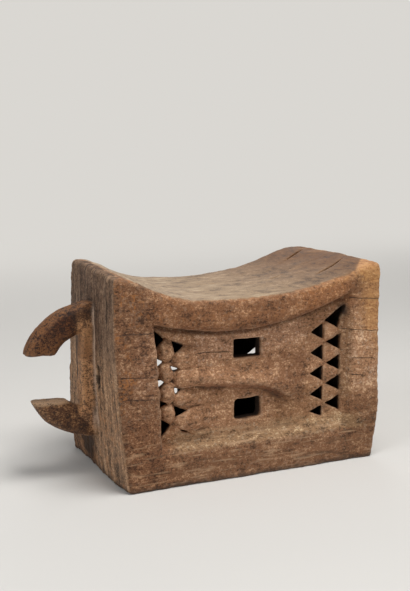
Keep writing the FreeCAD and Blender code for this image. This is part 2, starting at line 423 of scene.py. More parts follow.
def noise(place, size, stretch=(1.0, 1.0, 1.0), detail=0.0, rough=0.5, offset=0.0):
    """Smooth noise from -0.5 to 0.5 whose lumps are about size mm, times stretch on each axis."""
    shift = offset + seed * 17.0 if Field.tree is carving else offset
    squeezed = vector_maths("MULTIPLY_ADD", place, [1.0 / (size * axis) for axis in stretch],
                            vector_of(shift, shift, shift))
    node = add_node(Field.tree, "ShaderNodeTexNoise", None, {
        "Vector": squeezed.outputs[0], "Scale": 1.0, "Detail": detail, "Roughness": rough})
    return Field(node.outputs[0]) - 0.5


print("noise helpers: vector_of, axes, vector_maths, noise")

# %% [markdown]
# ## One place for every formula
# A carver measures from the block itself, so the formulas do too: millimetres from the middle of
# the block's foot. The same small helper serves the carving tree and, later, the material, so
# colours land exactly where the shape is.

# %% Millimetres from the middle of the block's foot
def block_millimetres(metres):
    """Metres in the shared frame, turned into millimetres from the middle of the block's foot."""
    scaled = vector_maths("MULTIPLY_ADD", metres, (1 / MM,) * 3, (-block_middle_x / MM, 0, 0))
    return scaled.outputs[0]


position = Field(carving.nodes.new("GeometryNodeInputPosition").outputs[0])
true_place = block_millimetres(position)
true_x, true_y, true_z = axes(true_place)
made("millimetres from the middle of the block's foot")

# %% [markdown]
# ## A hand's unevenness
# An adze and a knife leave no straight line. Space itself is bent a little before anything is
# measured in it, so that every edge wanders by a millimetre or two. A slow wave bends the long
# lines, and a quicker one the short ones.

# %% Bend space
def wander(offset, broad_size, broad_reach, fine_size, fine_reach):
    """How far a line strays: a slow wave and a quicker, smaller one."""
    broad = noise(true_place, broad_size, offset=offset)
    fine = noise(true_place, fine_size, offset=offset + 4.0)
    return broad * broad_reach + fine * fine_reach


x = true_x + wander(3.0, 110.0, 4.0, 30.0, 2.4)
y = true_y + wander(13.0, 120.0, 3.5, 36.0, 1.8)
z = true_z + wander(23.0, 110.0, 4.0, 30.0, 2.6)
place = vector_of(x, y, z)
made("bend space")

# %% [markdown]
# ## The block
# The ends lean: the front left corner stands out at the top and draws in at the floor, and both
# feet are drawn in over the last few centimetres. Leaning planes could be modelled by moving the
# corners of a box, but a formula for each face lets every edge be worn by its own amount.

# %% End faces, front, back and foot
def end_faces(x, z, depth_share):
    """How far a place lies outside the left and the right end face."""
    front_lean = power(1.0 - z / 240.0, 1.5) * 19.0 - 7.0
    back_lean = ramp(z, 290.0, 75.0, 4.5, -2.0, "LINEAR") + power((55.0 - z) / 55.0, 1.3) * 8.0
    left_lean = front_lean + (back_lean - front_lean) * depth_share
    right_lean = hump(z, 107.0, 130.0) * 3.2 - power((58.0 - z) / 58.0, 1.3) * 6.5 + 2.0
    return largest(left_lean - half_length - x, x - half_length - right_lean)


depth_share = ramp(y, -half_depth, half_depth, style="LINEAR")
ends = end_faces(x, z, depth_share)
sill_waves = noise(place, 24.0, stretch=(3.0, 1.0, 1.0), detail=1.0, offset=33.0) + 0.35
front_face = -half_depth - y + largest(sill_waves, 0.0) * ramp(z, 78.0, 50.0) * 5.0
back_face = y - half_depth
foot_face = -true_z
made("end faces, front, back and foot")

# %% [markdown]
# ## Saddle seat
# The seat is hollowed along its length, as a saddle is. It is steeper on the left, and its back
# edge rides a little higher than the front. Two power curves that meet at the lowest point follow
# the photograph better than an arc of a circle would.

# %% Saddle
SADDLE_LOW_X = -26.0
SADDLE_LOW_Z = crest_height - 38.5
SADDLE_LEFT_CURVE = (38.3, 157.0, 2.75)
SADDLE_RIGHT_CURVE = (37.5, 212.0, 2.1)


def risen(run, curve):
    """The height of a power curve after a run. It reaches its full rise at its full run."""
    rise, full_run, exponent = curve
    return power(run, exponent) * (rise / full_run ** exponent)


def saddle_height(x, depth_share, low_z):
    left_rise = risen(SADDLE_LOW_X - x, SADDLE_LEFT_CURVE)
    right_rise = risen(x - SADDLE_LOW_X, SADDLE_RIGHT_CURVE)
    back_rise = depth_share * (2.0 + power(magnitude(x + 20.0) / 170.0, 2.0) * 5.5)
    return left_rise + right_rise + back_rise + low_z


saddle_z = saddle_height(x, depth_share, named_input("Saddle low point", SADDLE_LOW_Z))
crest_z = crest_height + 1.5 - magnitude(y) * 0.018
saddle_top = (z - saddle_z) * 0.93
crest_top = z - crest_z
sides = largest(front_face, back_face)
top = meet(saddle_top, crest_top, 9.0)
block = meet(meet(ends, sides, 7.0), top, named_input("Worn top edge", 13.0))
foot_chips = largest(noise(place, 20.0, detail=1.0, offset=37.0) * 26.0 + 5.0, 2.0)
block = meet(block, foot_face, foot_chips)
made("saddle")

# %% [markdown]
# ## Framed recess and rolled lip
# A shallow pocket is sunk into the front and the back. Its floor is the pierced panel. Its left
# edge is square, its right and lower edges are splayed, and its upper edge is the lip: there the
# cut is smoothed over a wide band, and that is what rolls the lip's edge round.

# %% The lip's lower edge and the seat's underside
LIP_LOW_X = -45.0
LIP_LOW_Z = SADDLE_LOW_Z - 49.5
LIP_LEFT_CURVE = (18.0, 104.0, 1.56)
LIP_RIGHT_CURVE = (43.0, 202.0, 2.06)


def lip_height(x, low_z):
    """The lip's lower edge, for a field as well as for a plain number."""
    right_rise = risen(x - LIP_LOW_X, LIP_RIGHT_CURVE)
    left_rise = risen(LIP_LOW_X - x, LIP_LEFT_CURVE)
    return left_rise + right_rise + low_z


lip_z = lip_height(x, named_input("Lip low point", LIP_LOW_Z))
made("the lip's lower edge and the seat's underside")

# %% [markdown]
# ## Ridge and boss
# A ridge crosses the panel from the left and ends in a rounded boss, as if a soft fold hung over
# the lower window. It rises slowly from above and drops away steeply below, so it is one height
# over a lower edge that bends down on the right. A sculpted mesh would do too, but one formula
# for the edge also serves the shade that is painted under it later.

# %% Ridge and boss
RIDGE_HEIGHT = 12.5


def ridge_edge(x):
    """The height of the ridge's lower edge: it falls slowly, and bends down round the boss."""
    return 137.0 - (x + 85.0) * 0.125 - power(x - 14.0, 1.5) * 0.056


ridge_waves = noise(place, 34.0, stretch=(1.5, 1.0, 1.0), offset=29.0) * 5.0
over_edge = z - ridge_edge(x) + ridge_waves
ridge = ramp(over_edge, -6.0, 5.5) * ramp(over_edge, ramp(x, 0.0, 50.0, 33.0, 62.0), 8.0)
ridge = ridge * ramp(x, -116.0, -64.0) * ramp(x, 92.0, 40.0)
made("ridge and boss")

# %% [markdown]
# ## Fingers and beads
# On the left the fretwork leaves fingers that are half rounds with round tips, and beads like
# cushions between them. No two were cut alike, so a table gives each its own place and size,
# where one shape repeated at an even pitch would look made by a machine.

# %% Fingers and beads, and the panel's face
PANEL_Y = -92.0
FINGER_HEIGHT, BEAD_HEIGHT = 8.0, 10.0
# Each finger's tip, the height of its middle, and its radius
FINGERS = ((-116.0, 173.0, 15.0), (-116.5, 146.5, 14.0), (-116.5, 120.0, 13.0),
           (-117.5, 90.0, 16.0))
# Each bead's middle, across and up, then its half width and half height
BEADS = ((-127.0, 186.0, 17.0, 17.5), (-127.0, 157.0, 16.0, 16.5),
         (-124.5, 129.0, 16.0, 16.0), (-123.5, 101.0, 13.0, 14.5))
rounds, cushions = [], []
for tip, middle, radius in FINGERS:
    past_tip = largest(tip + radius - x, 0.0)
    rounds.append(1.0 - (past_tip * past_tip + (z - middle) * (z - middle)) / radius ** 2)
for middle_x, middle_z, half_width, half_height in BEADS:
    across, up = magnitude(x - middle_x) / half_width, magnitude(z - middle_z) / half_height
    cushions.append(1.0 - power(across, 1.6) - power(up, 1.6))
fingers = power(largest(*rounds), 0.5) * ramp(x, -46.0, -104.0) * FINGER_HEIGHT
beads = power(largest(*cushions), 0.6) * BEAD_HEIGHT
lip_groove = hump(z - lip_z - 3.0, 0.0, 8.0) * 4.0
wall_groove = ramp(x, -132.0, -139.5) * ramp(z, 216.0, 206.0) * 8.0
panel_depth = named_input("Panel depth", PANEL_Y)
raised = largest(fingers, beads) + ridge * RIDGE_HEIGHT
panel_front = panel_depth + lip_groove + wall_groove - raised
panel_front = panel_front - noise(place, 45.0, offset=31.0) * 2.4
made("fingers and beads, and the panel's face")

# %% [markdown]
# ## Beads of the right fretwork
# Between two rows of triangles a small lozenge of wood is left, and each one was rounded with
# the knife. The rows stand a pitch apart, so one swelling is folded up the whole column.

# %% Rows that repeat upwards
BEAD_Z_RIGHT = 101.5
ROWS = 4
pitch_right = named_input("Fretwork pitch", 30.5)


def nearest_row(height, first, pitch, count):
    """Height above the nearest of count rows that stand a pitch apart."""
    number = maths("ROUND", (height - first) / pitch)
    number = smallest(largest(number, 0.0), float(count - 1))
    return height - first - number * pitch


def bead_swell(middle_x, reach, row, height):
    across = x - middle_x
    return power(1.0 - (across * across + row * row) / reach ** 2, 0.5) * height


right_beads = bead_swell(126.5, 14.0, nearest_row(z, BEAD_Z_RIGHT, pitch_right, ROWS), 4.0)
top_bead = bead_swell(127.5, 13.5, z - 193.0, 6.5)
right_beads = right_beads + top_bead
panel_front = panel_front - right_beads
made("rows that repeat upwards")

# %% [markdown]
# ## Two pockets
# Both pockets are the same shape seen from their own side: a square left wall, a splayed right
# wall and sill, and the lip as a roof. Only their floors differ, so one formula makes both.

# %% Sink both pockets
BACK_PANEL_DEPTH = 20.0
RIGHT_WALL_X, POCKET_FOOT_Z = 143.0, 59.0
SPLAY_WIDTH, SPLAY_DEPTH, FOOT_SPLAY = 15.0, 20.0, 11.5
left_wall_x = (220.0 - z) * 0.041 - 145.5


def pocket(depth_in, floor_depth):
    """The recess as seen from its own side: depth_in is 0 on the block's face and grows inwards."""
    splay = ramp(depth_in, SPLAY_DEPTH, 0.0, style="LINEAR")
    left_side = left_wall_x - x
    right_side = (x - RIGHT_WALL_X - splay * SPLAY_WIDTH) * 0.8
    low_splay = splay * FOOT_SPLAY * ramp(x, -150.0, -105.0, 0.25, 1.0)
    low_side = (POCKET_FOOT_Z - low_splay - z) * 0.87
    roof = z - lip_z - depth_in * 0.28
    rim = meet(meet(largest(left_side, roof), right_side, 5.0), low_side, 5.0)
    return meet(rim, depth_in - floor_depth, ramp(x, 60.0, 125.0, 1.0, 16.0))


rim_softness = largest(ramp(z, lip_z - 32.0, lip_z - 6.0, 7.0, 26.0),
                       ramp(x, 90.0, 135.0, 0.0, 24.0))
front_pocket = pocket(y + half_depth, panel_front + half_depth)
back_floor = noise(place, 50.0, offset=41.0) * 2.0 + BACK_PANEL_DEPTH
back_pocket = pocket(half_depth - y, back_floor)
block = cut(block, front_pocket, rim_softness)
block = cut(block, back_pocket, rim_softness)
made("sink both pockets")

# %% [markdown]
# ## Hollow underneath
# The carver reached the inside from below: the open floor of the block is dug out between the
# end walls and the two panels, up to the underside of the seat. One upright rounded box of air
# is enough, because only its edges are ever seen, and it leaves the walls as thick as they are
# at the windows.

# %% Dig the hollow
HOLLOW_HALVES, HOLLOW_CORNER = (143.0, 72.0), 18.0
hollow_plan = rounded_box([true_x, true_y], HOLLOW_HALVES, HOLLOW_CORNER)
hollow_plan = hollow_plan + noise(true_place, 26.0, offset=51.0) * 2.0
hollow = meet(hollow_plan, z - lip_z - 4.0, 14.0)
block = cut(block, hollow, 5.0)
made("dig the hollow")

# %% [markdown]
# ## Shapes of the holes
# The stool has two kinds of holes: windows with four sides, and small triangles that lie on
# their side. Both are drawn flat on the panel and then limited to one wall. A Boolean for each
# hole would do the same, but in the distance field all of them are one formula.

# %% Windows, triangles and the wall they go through
FRONT_WALL, BACK_WALL = (-140.0, -50.0), (50.0, 140.0)


def window(left, right, low, high, corner):
    middle_x, middle_z = (left + right) / 2, (low + high) / 2
    halves = ((right - left) / 2, (high - low) / 2)
    return rounded_box([x - middle_x, z - middle_z], halves, corner)


def triangle(across, tip, base, row, half_height):
    """A triangle on its side: it points from base to tip, level with the middle of its row."""
    run = abs(base - tip)
    slant = math.hypot(run, half_height)
    toward = across - base if tip > base else base - across
    slopes = (magnitude(row) - half_height) * (run / slant) + toward * (half_height / slant)
    return largest(slopes, -toward)


def through(shape, wall):
    """Only the stretch of a hole that lies between a wall's two depths."""
    return largest(shape, wall[0] - y, y - wall[1])


flare = ramp(magnitude(y), 80.0, 100.0, 0.0, 2.2)
made("windows, triangles and the wall they go through")

# %% [markdown]
# ## Windows and right fretwork
# The windows are plain boxes with slightly rounded corners. The right fretwork is one triangle
# repeated upwards by folding the height at every pitch: the outer column stands half a pitch off
# the inner one, and what is left between them is the zigzag of beads. The photograph shows no
# inner side of these holes, so they run inwards to the right, as the eye looks.

# %% Holes on the right and the front windows
# Each window's left and right side, its foot and top, and how round its corners are
FRONT_WINDOWS = ((-25.0, 18.0, 167.0, 192.5, 2.0), (-22.5, 19.0, 78.0, 107.5, 4.5))
run_in = y + 94.0
right_x, right_z = x - run_in * 0.32, z + run_in * 0.15
front_windows = smallest(*(window(*sizes) for sizes in FRONT_WINDOWS))
outer_row = nearest_row(right_z, 85.5, pitch_right, ROWS)
inner_row = nearest_row(right_z, BEAD_Z_RIGHT, pitch_right, ROWS)
from_tip, above_tip = right_x - 122.5, right_z - 209.0
corner_hole = largest(right_x - 142.0 - (right_z - 196.0) * 0.30,
                      above_tip * 0.80 - from_tip * 0.60, above_tip * -0.88 - from_tip * 0.48)
right_holes = smallest(triangle(right_x, 124.5, 146.0, outer_row, 11.2),
                       triangle(right_x, 98.5, 118.0, inner_row, 10.4), corner_hole,
                       triangle(right_x, 99.5, 117.5, right_z - 74.0, 7.8))
right_holes = largest(right_holes, x - 156.0)
block = cut(block, through(front_windows - flare * 0.4, FRONT_WALL), 2.0)
block = cut(block, through(right_holes - 0.5, FRONT_WALL), 2.5)
made("holes on the right and the front windows")

# %% [markdown]
# ## Left fretwork
# On the left no two holes are alike, so each one is named by its three corners, measured in the
# photograph. Daylight from the back shows through four of them, so they must run inwards to the
# right and a little down. The cut is smoothed over a wide band, and together with the swellings
# this turns the lozenges between the holes into cushions.

# %% Holes between the beads and the fingers
LEFT_HOLES = (
    ((-148.0, 221.0), (-129.5, 203.0), (-147.0, 186.0)),
    ((-146.0, 180.0), (-129.8, 172.2), (-146.0, 161.5)),
    ((-145.0, 153.0), (-129.0, 143.5), (-145.0, 133.5)),
    ((-144.0, 123.0), (-125.0, 115.0), (-144.0, 109.0)),
    ((-142.0, 97.0), (-122.0, 85.5), (-139.0, 63.0)),
    ((-118.3, 199.6), (-99.5, 190.8), (-112.9, 181.0)),
    ((-120.0, 165.9), (-107.1, 160.4), (-115.6, 156.4)),
    ((-115.4, 135.3), (-104.6, 131.7), (-113.0, 125.0)),
    ((-115.0, 110.2), (-95.5, 102.6), (-113.8, 95.0)),
    ((-111.5, 80.0), (-89.5, 69.0), (-104.0, 74.0)))
slant_x, slant_z = x - run_in * 0.40, z + run_in * 0.27


def three_cornered(*corners):
    """A slanting hole with three corners, named clockwise as seen from the front."""
    edges = []
    for (x1, z1), (x2, z2) in zip(corners, corners[1:] + corners[:1]):
        length = math.hypot(x2 - x1, z2 - z1)
        edges.append((slant_x - x1) * ((z1 - z2) / length) + (slant_z - z1) * ((x2 - x1) / length))
    return largest(*edges)


left_holes = smallest(*(three_cornered(*corners) for corners in LEFT_HOLES))
left_holes = largest(left_holes, left_wall_x - x)
block = cut(block, through(left_holes, FRONT_WALL), named_input("Fretwork rounding", 7.0))
made("holes between the beads and the fingers")

# %% [markdown]
# ## Back panel
# The photograph shows the back only through the front's holes: the bright spots there tell where
# the back is open. Two windows, two columns of triangles and a plainer left fretwork explain
# every bright spot.

# %% The back's own holes
back_pitch = named_input("Back fretwork pitch", 42.0)
BACK_WINDOWS = ((-79.0, -33.0, 73.5, 101.5, 2.0), (-79.0, -33.0, 111.5, 139.0, 2.0))
BACK_FIRST, BACK_ROWS = 82.0, 3
LEFT_FIRST, LEFT_PITCH = 82.5, 29.5
back_windows = smallest(*(window(*sizes) for sizes in BACK_WINDOWS))
back_right_holes = smallest(
    triangle(x, 76.0, 102.5, nearest_row(z, BACK_FIRST, back_pitch, BACK_ROWS), 17.5),
    triangle(x, 108.5, 127.0, nearest_row(z, BACK_FIRST + 21.0, back_pitch, BACK_ROWS), 17.0))
back_left_holes = smallest(
    triangle(x, -123.5, -142.0, nearest_row(z, LEFT_FIRST, LEFT_PITCH, ROWS), 9.5),
    triangle(x, -96.5, -114.0, nearest_row(z, LEFT_FIRST + 18.5, LEFT_PITCH, ROWS), 7.5),
    triangle(x, -123.0, -142.0, z - 207.5, 15.0),
    triangle(x, -90.0, -113.0, z - 74.0, 5.5))
for holes, softness in ((back_windows - flare * 0.4, 2.5), (back_left_holes - flare, 6.5),
                        (back_right_holes - flare * 0.6, 4.5)):
    block = cut(block, through(holes, BACK_WALL), softness)
made("the back's own holes")

# %% [markdown]
# ## Handle
# An upright rib on the left end wall and an open ring in front of it. The ring is a rounded bar
# bent round a centre just outside the wall, and its middle is missing, so two horns face each
# other with flat ends. A bar swept along a curve would do too, but the distance to a circle
# joins the wall with a soft fillet by itself.

# %% Rib and horns
RING_X = -half_length - 5.5
RING_Z = 152.0
BAR_Y = -3.0
BAR_HALVES, BAR_CORNER = (20.0, 15.5), 10.5
RIB_HALVES, RIB_CORNER = (19.5, 14.0), 4.0
GAP_BELOW, GAP_ABOVE = 40.0, 25.5
RIB_REACH = 95.5
ring_x = x - RING_X - ramp(z, 150.0, 120.0) * 3.5
ring_z = (z - RING_Z) * ramp(z, RING_Z, RING_Z + 40.0, 1.0, 1.02)
ring_radius = length_of(ring_x, ring_z)
from_ring = ring_radius - named_input("Ring radius", 75.5)
ring_bar = rounded_box([from_ring, y - BAR_Y], BAR_HALVES, BAR_CORNER)
horn_gap = largest(RING_Z - GAP_BELOW - z, z - RING_Z - GAP_ABOVE + (x + 270.0) * 0.03)
horns = cut(ring_bar, horn_gap, 2.5)
horns = largest(horns, x - RING_X - 12.0)
rib_plan = rounded_box([x + half_length + 1.0, y - BAR_Y], RIB_HALVES, RIB_CORNER)
rib = meet(rib_plan, ring_radius - RIB_REACH, 4.0)
handle = join(horns, rib, 5.0)
block = join(block, handle, 6.0)
made("rib and horns")

# %% [markdown]
# ## Checks and a knot
# Dry wood splits along the grain. The seat has two long checks at its right end and two small
# ones, open enough to be carved, and the left end wall has a pit where a knot has fallen out.
# Each check is a thin lens of air along its own line, so that it runs out to nothing at both
# ends, as a split in wood does.

# %% Drying checks in the seat, and the knot pit in the end wall
# Each check's two ends, seen from above, and half its width
CHECKS = (((120.0, -67.0), (181.0, -46.0), 2.6), ((132.0, 45.0), (178.0, 66.0), 2.3),
          ((-30.0, 27.0), (4.0, 21.0), 1.6), ((60.0, -20.0), (96.0, -14.0), 1.5))
KNOT_Y, KNOT_Z = -32.0, 145.0


def check(start, end, half_width):
    """A lens-shaped crack seen from above: widest in the middle, running out at both ends."""
    run_x, run_y = end[0] - start[0], end[1] - start[1]
    length = math.hypot(run_x, run_y)
    along = ((true_x - start[0]) * run_x + (true_y - start[1]) * run_y) / length - length / 2
    across = ((true_y - start[1]) * run_x - (true_x - start[0]) * run_y) / length
    across = across + noise(true_place, 9.0, offset=91.0) * 2.0
    width = largest(1.0 - along * along / (length / 2) ** 2, 0.0) * half_width
    return largest(magnitude(across) - width, saddle_z - 5.0 - z, z - saddle_z - 12.0)


checks = smallest(*(check(*sizes) for sizes in CHECKS))
block = cut(block, checks, 1.0)
pit = length_of((true_x + half_length) / 9.0, (true_y - KNOT_Y) / 7.5,
                (true_z - KNOT_Z) / 16.0) - 1.0
block = cut(block, pit * 7.5, 3.0)
made("drying checks in the seat, and the knot pit in the end wall")

# %% [markdown]
# ## From numbers to a surface
# Volume Cube fills a grid with the number and Volume to Mesh wraps the wood in a closed skin.
# A solid cut with Booleans would have knife-sharp edges, and this skin has worn ones. A finer
# grid gives finer carving, and the grid's size is a named input of the tree.

# %% Grow the skin
VOXEL = 1.65
MARGIN = 14.0
HORN_REACH = 0.1
margin = Vector((MARGIN * MM,) * 3)
grid_low = Vector((rib_low[0] - HORN_REACH, -half_depth * MM, 0)) - margin
grid_high = Vector((seat_high[0], half_depth * MM, crest_height * MM)) + margin
cells = [int((high - low) / (VOXEL * MM)) for low, high in zip(grid_low, grid_high)]
grid_high = grid_low + Vector([count * VOXEL * MM for count in cells])

grid = carving.nodes.new("GeometryNodeVolumeCube")
skin = carving.nodes.new("GeometryNodeVolumeToMesh")
plug(-block, grid.inputs["Density"])
grid.inputs["Background"].default_value = -10.0
grid.inputs["Min"].default_value = grid_low
grid.inputs["Max"].default_value = grid_high
for axis, count in zip("XYZ", cells):
    plug(named_input("Grid points along " + axis, count + 1), grid.inputs["Resolution " + axis])
carving.links.new(grid.outputs[0], skin.inputs["Volume"])
skin.inputs["Threshold"].default_value = 0.0
made("grow the skin")

# %% [markdown]
# ## Tool marks, grain and wear
# The end walls carry upright adze strokes, the front has shallow furrows along the grain, the
# outer corners are notched, and everything is pitted by weather. The skin's points are pushed
# in or out along their normals, so the marks are real shape. The same marks in the block's own
# formula would need a much finer grid.

# %% Roughen the skin
end_share = ramp(ends, -12.0, -3.0) * ramp(ends - sides, -4.0, 2.0)
furrows = noise(true_place, 4.5, stretch=(18.0, 12.0, 1.0), detail=1.0, offset=61.0) * 0.9
strokes = noise(true_place, 9.0, stretch=(3.0, 1.0, 7.0), detail=1.0, offset=71.0) * 2.4
pits = noise(true_place, 8.0, stretch=(1.6, 1.6, 1.0), detail=2.0, rough=0.6, offset=81.0) * 1.8
notches = noise(true_place, 10.0, stretch=(5.0, 5.0, 1.0), detail=1.0, offset=87.0) * 3.4
corner_share = ramp(ends, -18.0, -2.0) * ramp(sides, -20.0, -2.0)
seat_share = ramp(z - saddle_z, -9.0, -3.0) * ramp(magnitude(true_y), 108.0, 98.0)
relief = (1.0 - end_share) * furrows + end_share * strokes + pits + corner_share * notches
relief = relief * (1.0 - seat_share * 0.8)

normal = Field(carving.nodes.new("GeometryNodeInputNormal").outputs[0])
push = vector_maths("SCALE", normal)
plug(relief * -MM, push.inputs["Scale"])
mover = carving.nodes.new("GeometryNodeSetPosition")
carving.links.new(skin.outputs[0], mover.inputs["Geometry"])
carving.links.new(push.outputs[0], mover.inputs["Offset"])
made("roughen the skin")

# %% [markdown]
# ## Edges and hollows as attributes
# Old wood is pale and smooth where hands rub it and dark where dirt stays. Both follow the
# shape: the skin is blurred, and a point that stands out of its own blur is an edge, while one
# that lies under it is a hollow. The tree stores both on the points, in millimetres, and the
# material reads them by name. It also stores the skin's normal, for a later step.

# %% Store edge, hollow and normal
def stands_out(rings):
    """How far a point stands out of the skin blurred over that many rings, in millimetres."""
    blur = carving.nodes.new("GeometryNodeBlurAttribute")
    blur.data_type = "FLOAT_VECTOR"
    plug(rings, blur.inputs["Iterations"])
    taken, blurred = [[socket for socket in sockets
                       if socket.enabled and socket.type == "VECTOR"][0]
                      for sockets in (blur.inputs, blur.outputs)]
    plug(position, taken)
    away = vector_maths("SUBTRACT", position, blurred)
    along = vector_maths("DOT_PRODUCT", away.outputs[0], normal)
    return Field(along.outputs["Value"]) * (1 / MM)


def store(geometry, name, data_type, value):
    node = carving.nodes.new("GeometryNodeStoreNamedAttribute")
    node.data_type = data_type
    node.domain = "POINT"
    for socket_name, filling in (("Geometry", geometry), ("Name", name), ("Value", value)):
        plug(filling, node.inputs[socket_name])
    return node.outputs[0]


edge_rings = named_input("Edge rings", 12)
hollow_rings = named_input("Hollow rings", 50)
skin_mesh = store(mover.outputs[0], "edge", "FLOAT", stands_out(edge_rings))
skin_mesh = store(skin_mesh, "hollow", "FLOAT", -stands_out(hollow_rings))
skin_mesh = store(skin_mesh, "skin_normal", "FLOAT_VECTOR", normal)
made("store edge, hollow and normal")

# %% [markdown]
# ## The end of the tree
# The tree ends by smoothing the faces, realizing instances and setting the material, so that
# nothing depends on the modifier afterwards. The same could be done on the mesh by hand, but
# then the tree would not be complete in itself.

# %% Close the tree
skin_material = bpy.data.materials.new("skin")
smoother = carving.nodes.new("GeometryNodeSetShadeSmooth")
realizer = carving.nodes.new("GeometryNodeRealizeInstances")
painter = carving.nodes.new("GeometryNodeSetMaterial")
painter.inputs["Material"].default_value = skin_material
carving_out = carving.nodes.new("NodeGroupOutput")
geometry = skin_mesh
for node in (smoother, realizer, painter):
    carving.links.new(geometry, node.inputs["Geometry"])
    geometry = node.outputs[0]
carving.links.new(geometry, carving_out.inputs[0])
made("close the tree")

# %% [markdown]
# ## From the tree to a plain mesh
# The wood's skin is wanted as a mesh that stands for itself. Applying the modifier by hand would
# do, but here its inputs are set by their identifiers, the evaluated object is turned into a
# mesh, and the modifier is taken away again.

# %% Evaluate the tree once
def grown_mesh(tree, values):
    """The mesh that a Geometry Nodes tree makes from nothing but its named inputs."""
    host = bpy.data.objects.new("host", bpy.data.meshes.new("host"))
    bpy.context.scene.collection.objects.link(host)
    modifier = host.modifiers.new("carving", "NODES")
    modifier.node_group = tree
    for identifier, value in values.items():
        modifier[identifier] = value
    depsgraph = bpy.context.evaluated_depsgraph_get()
    mesh = bpy.data.meshes.new_from_object(host.evaluated_get(depsgraph))
    host.modifiers.remove(modifier)
    bpy.data.objects.remove(host)
    return mesh


stool_mesh = grown_mesh(carving, settings)
if stool_mesh.materials[0] is None:  # the volume leaves an empty slot in front
    stool_mesh.materials.pop(index=0)
print("skin:", len(stool_mesh.vertices), "points,", len(stool_mesh.polygons), "faces, cells", cells,
      "materials", stool_mesh.materials.keys())
for name in ("edge", "hollow"):
    values = np.empty(len(stool_mesh.vertices), dtype=np.float32)
    stool_mesh.attributes[name].data.foreach_get("value", values)
    print(name, "in mm, at 5, 50 and 95 percent:", np.percentile(values, [5, 50, 95]).round(2))

# %% [markdown]
# ## Closed solids to cut with
# The shared model names the members of the block, so the skin is cut where the construction
# model cuts it. A saw on the real block would only cut straight, and most cutters are plain
# boxes, but one follows the lip. So a cutter is made of rings of corners, one after the other.

# %% Cutters
FAR = 400.0
cut_face = bpy.data.materials.new("cut_face")


def closed_solid(rings):
    """Rings of corners in block millimetres, joined one to the next and closed at both ends."""
    bm = bmesh.new()
    loops = [[bm.verts.new(((across + block_middle_x / MM) * MM, depth * MM, height * MM))
              for across, depth, height in ring] for ring in rings]
    bm.faces.new(loops[0])
    bm.faces.new(loops[-1])
    for first, second in zip(loops, loops[1:]):
        for n in range(len(first)):
            following = (n + 1) % len(first)
            bm.faces.new((first[n], first[following], second[following], second[n]))
    bmesh.ops.recalc_face_normals(bm, faces=bm.faces)
    mesh = bpy.data.meshes.new("cutter")
    bm.to_mesh(mesh)
    bm.free()
    mesh.materials.append(cut_face)
    return mesh


def box_cutter(left, right, low, high, front=-FAR, back=FAR):
    plan = ((left, front), (right, front), (right, back), (left, back))
    return closed_solid([[(across, depth, level) for across, depth in plan]
                         for level in (low, high)])


print("cutters: closed_solid, box_cutter")

# %% [markdown]
# ## One cut, two parts
# Each cut is a Boolean with a cutter, once to keep what is inside and once for the rest. The two
# sides get the same cut line, so no gap opens. Blender's Manifold solver does this quickly,
# because the skin is closed, and it marks the new faces with the cutter's own material.

# %% Split a mesh
def split(mesh, cutter):
    """The part of the mesh inside the cutter, and the rest."""
    whole = bpy.data.objects.new("whole", mesh)
    tool = bpy.data.objects.new("tool", cutter)
    for thing in (whole, tool):
        bpy.context.scene.collection.objects.link(thing)
    halves = []
    for operation in ("INTERSECT", "DIFFERENCE"):
        modifier = whole.modifiers.new("split", "BOOLEAN")
        modifier.object = tool
        modifier.operation = operation
        modifier.solver = "MANIFOLD"
        modifier.material_mode = "TRANSFER"
        depsgraph = bpy.context.evaluated_depsgraph_get()
        halves.append(bpy.data.meshes.new_from_object(whole.evaluated_get(depsgraph)))
        whole.modifiers.remove(modifier)
    for thing in (whole, tool):
        bpy.data.objects.remove(thing)
    bpy.data.meshes.remove(cutter)
    return halves


print("cutting helper: split")

# %% [markdown]
# ## The cutter under the lip
# Between the seat and a panel lies the crevice under the lip. A flat cut would leave steps in
# the lip or in the panel, so this cutter follows the lip's own curve: a section with a point in
# the crevice is set up at every step along it.

# %% Cutter that follows the lip
END_SEAM, SILL_SEAM = 140.5, 63.0
LIP_STEPS, LIP_OVERRUN = 24, 6.0
LIP_SECTION = ((140.0, -6.0), (112.0, -2.0), (92.0, 3.4), (72.0, -7.0), (1.0, -7.0))


def under_lip_cutter(side):
    """Everything between the sill and the crevice under the lip, on one side of the hollow."""
    rings = []
    for step in range(LIP_STEPS + 1):
        run = step * (END_SEAM + LIP_OVERRUN) * 2 / LIP_STEPS - END_SEAM - LIP_OVERRUN
        edge_height = lip_height(run, LIP_LOW_Z)
        outline = [(depth, edge_height + lift) for depth, lift in LIP_SECTION]
        outline += [(1.0, SILL_SEAM), (140.0, SILL_SEAM)]
        rings.append([(run, side * depth, height) for depth, height in outline])
    return closed_solid(rings)


print("cutter under the lip:", LIP_STEPS + 1, "sections of", len(LIP_SECTION) + 2, "corners")

# %% [markdown]
# ## Fourteen carved members
# On the real block the lines where the members part are only changes of form: the crevice under
# the lip, the top of the sill, the inner sides of the end walls, and the foot of the handle. The
# members could be carved one by one, but then their edges would not meet. Cut from one skin,
# each takes its part and what is left goes on to the next cut.

# %% Cut the members apart
LEFT_SHOULDER, RIGHT_SHOULDER = 222.0, 247.0
HORN_SEAM, HORN_PARTING = -224.5, 146.0
LEFT_FRET_SEAM, FRONT_RIGHT_FRET_SEAM, BACK_RIGHT_FRET_SEAM = -86.0, 96.0, 71.0
BELOW_FLOOR = -50.0
HANDLE_HALF_WIDTH = 24.0
# The left end wall's surface under the handle, across and up
WALL_LINE = ((-206.5, 265.0), (-206.0, 240.0), (-204.5, 170.0), (-202.0, 120.0), (-199.5, 60.0),
             (-198.0, 40.0), (-FAR, 40.0), (-FAR, 265.0))
members = {"seat": stool_mesh}


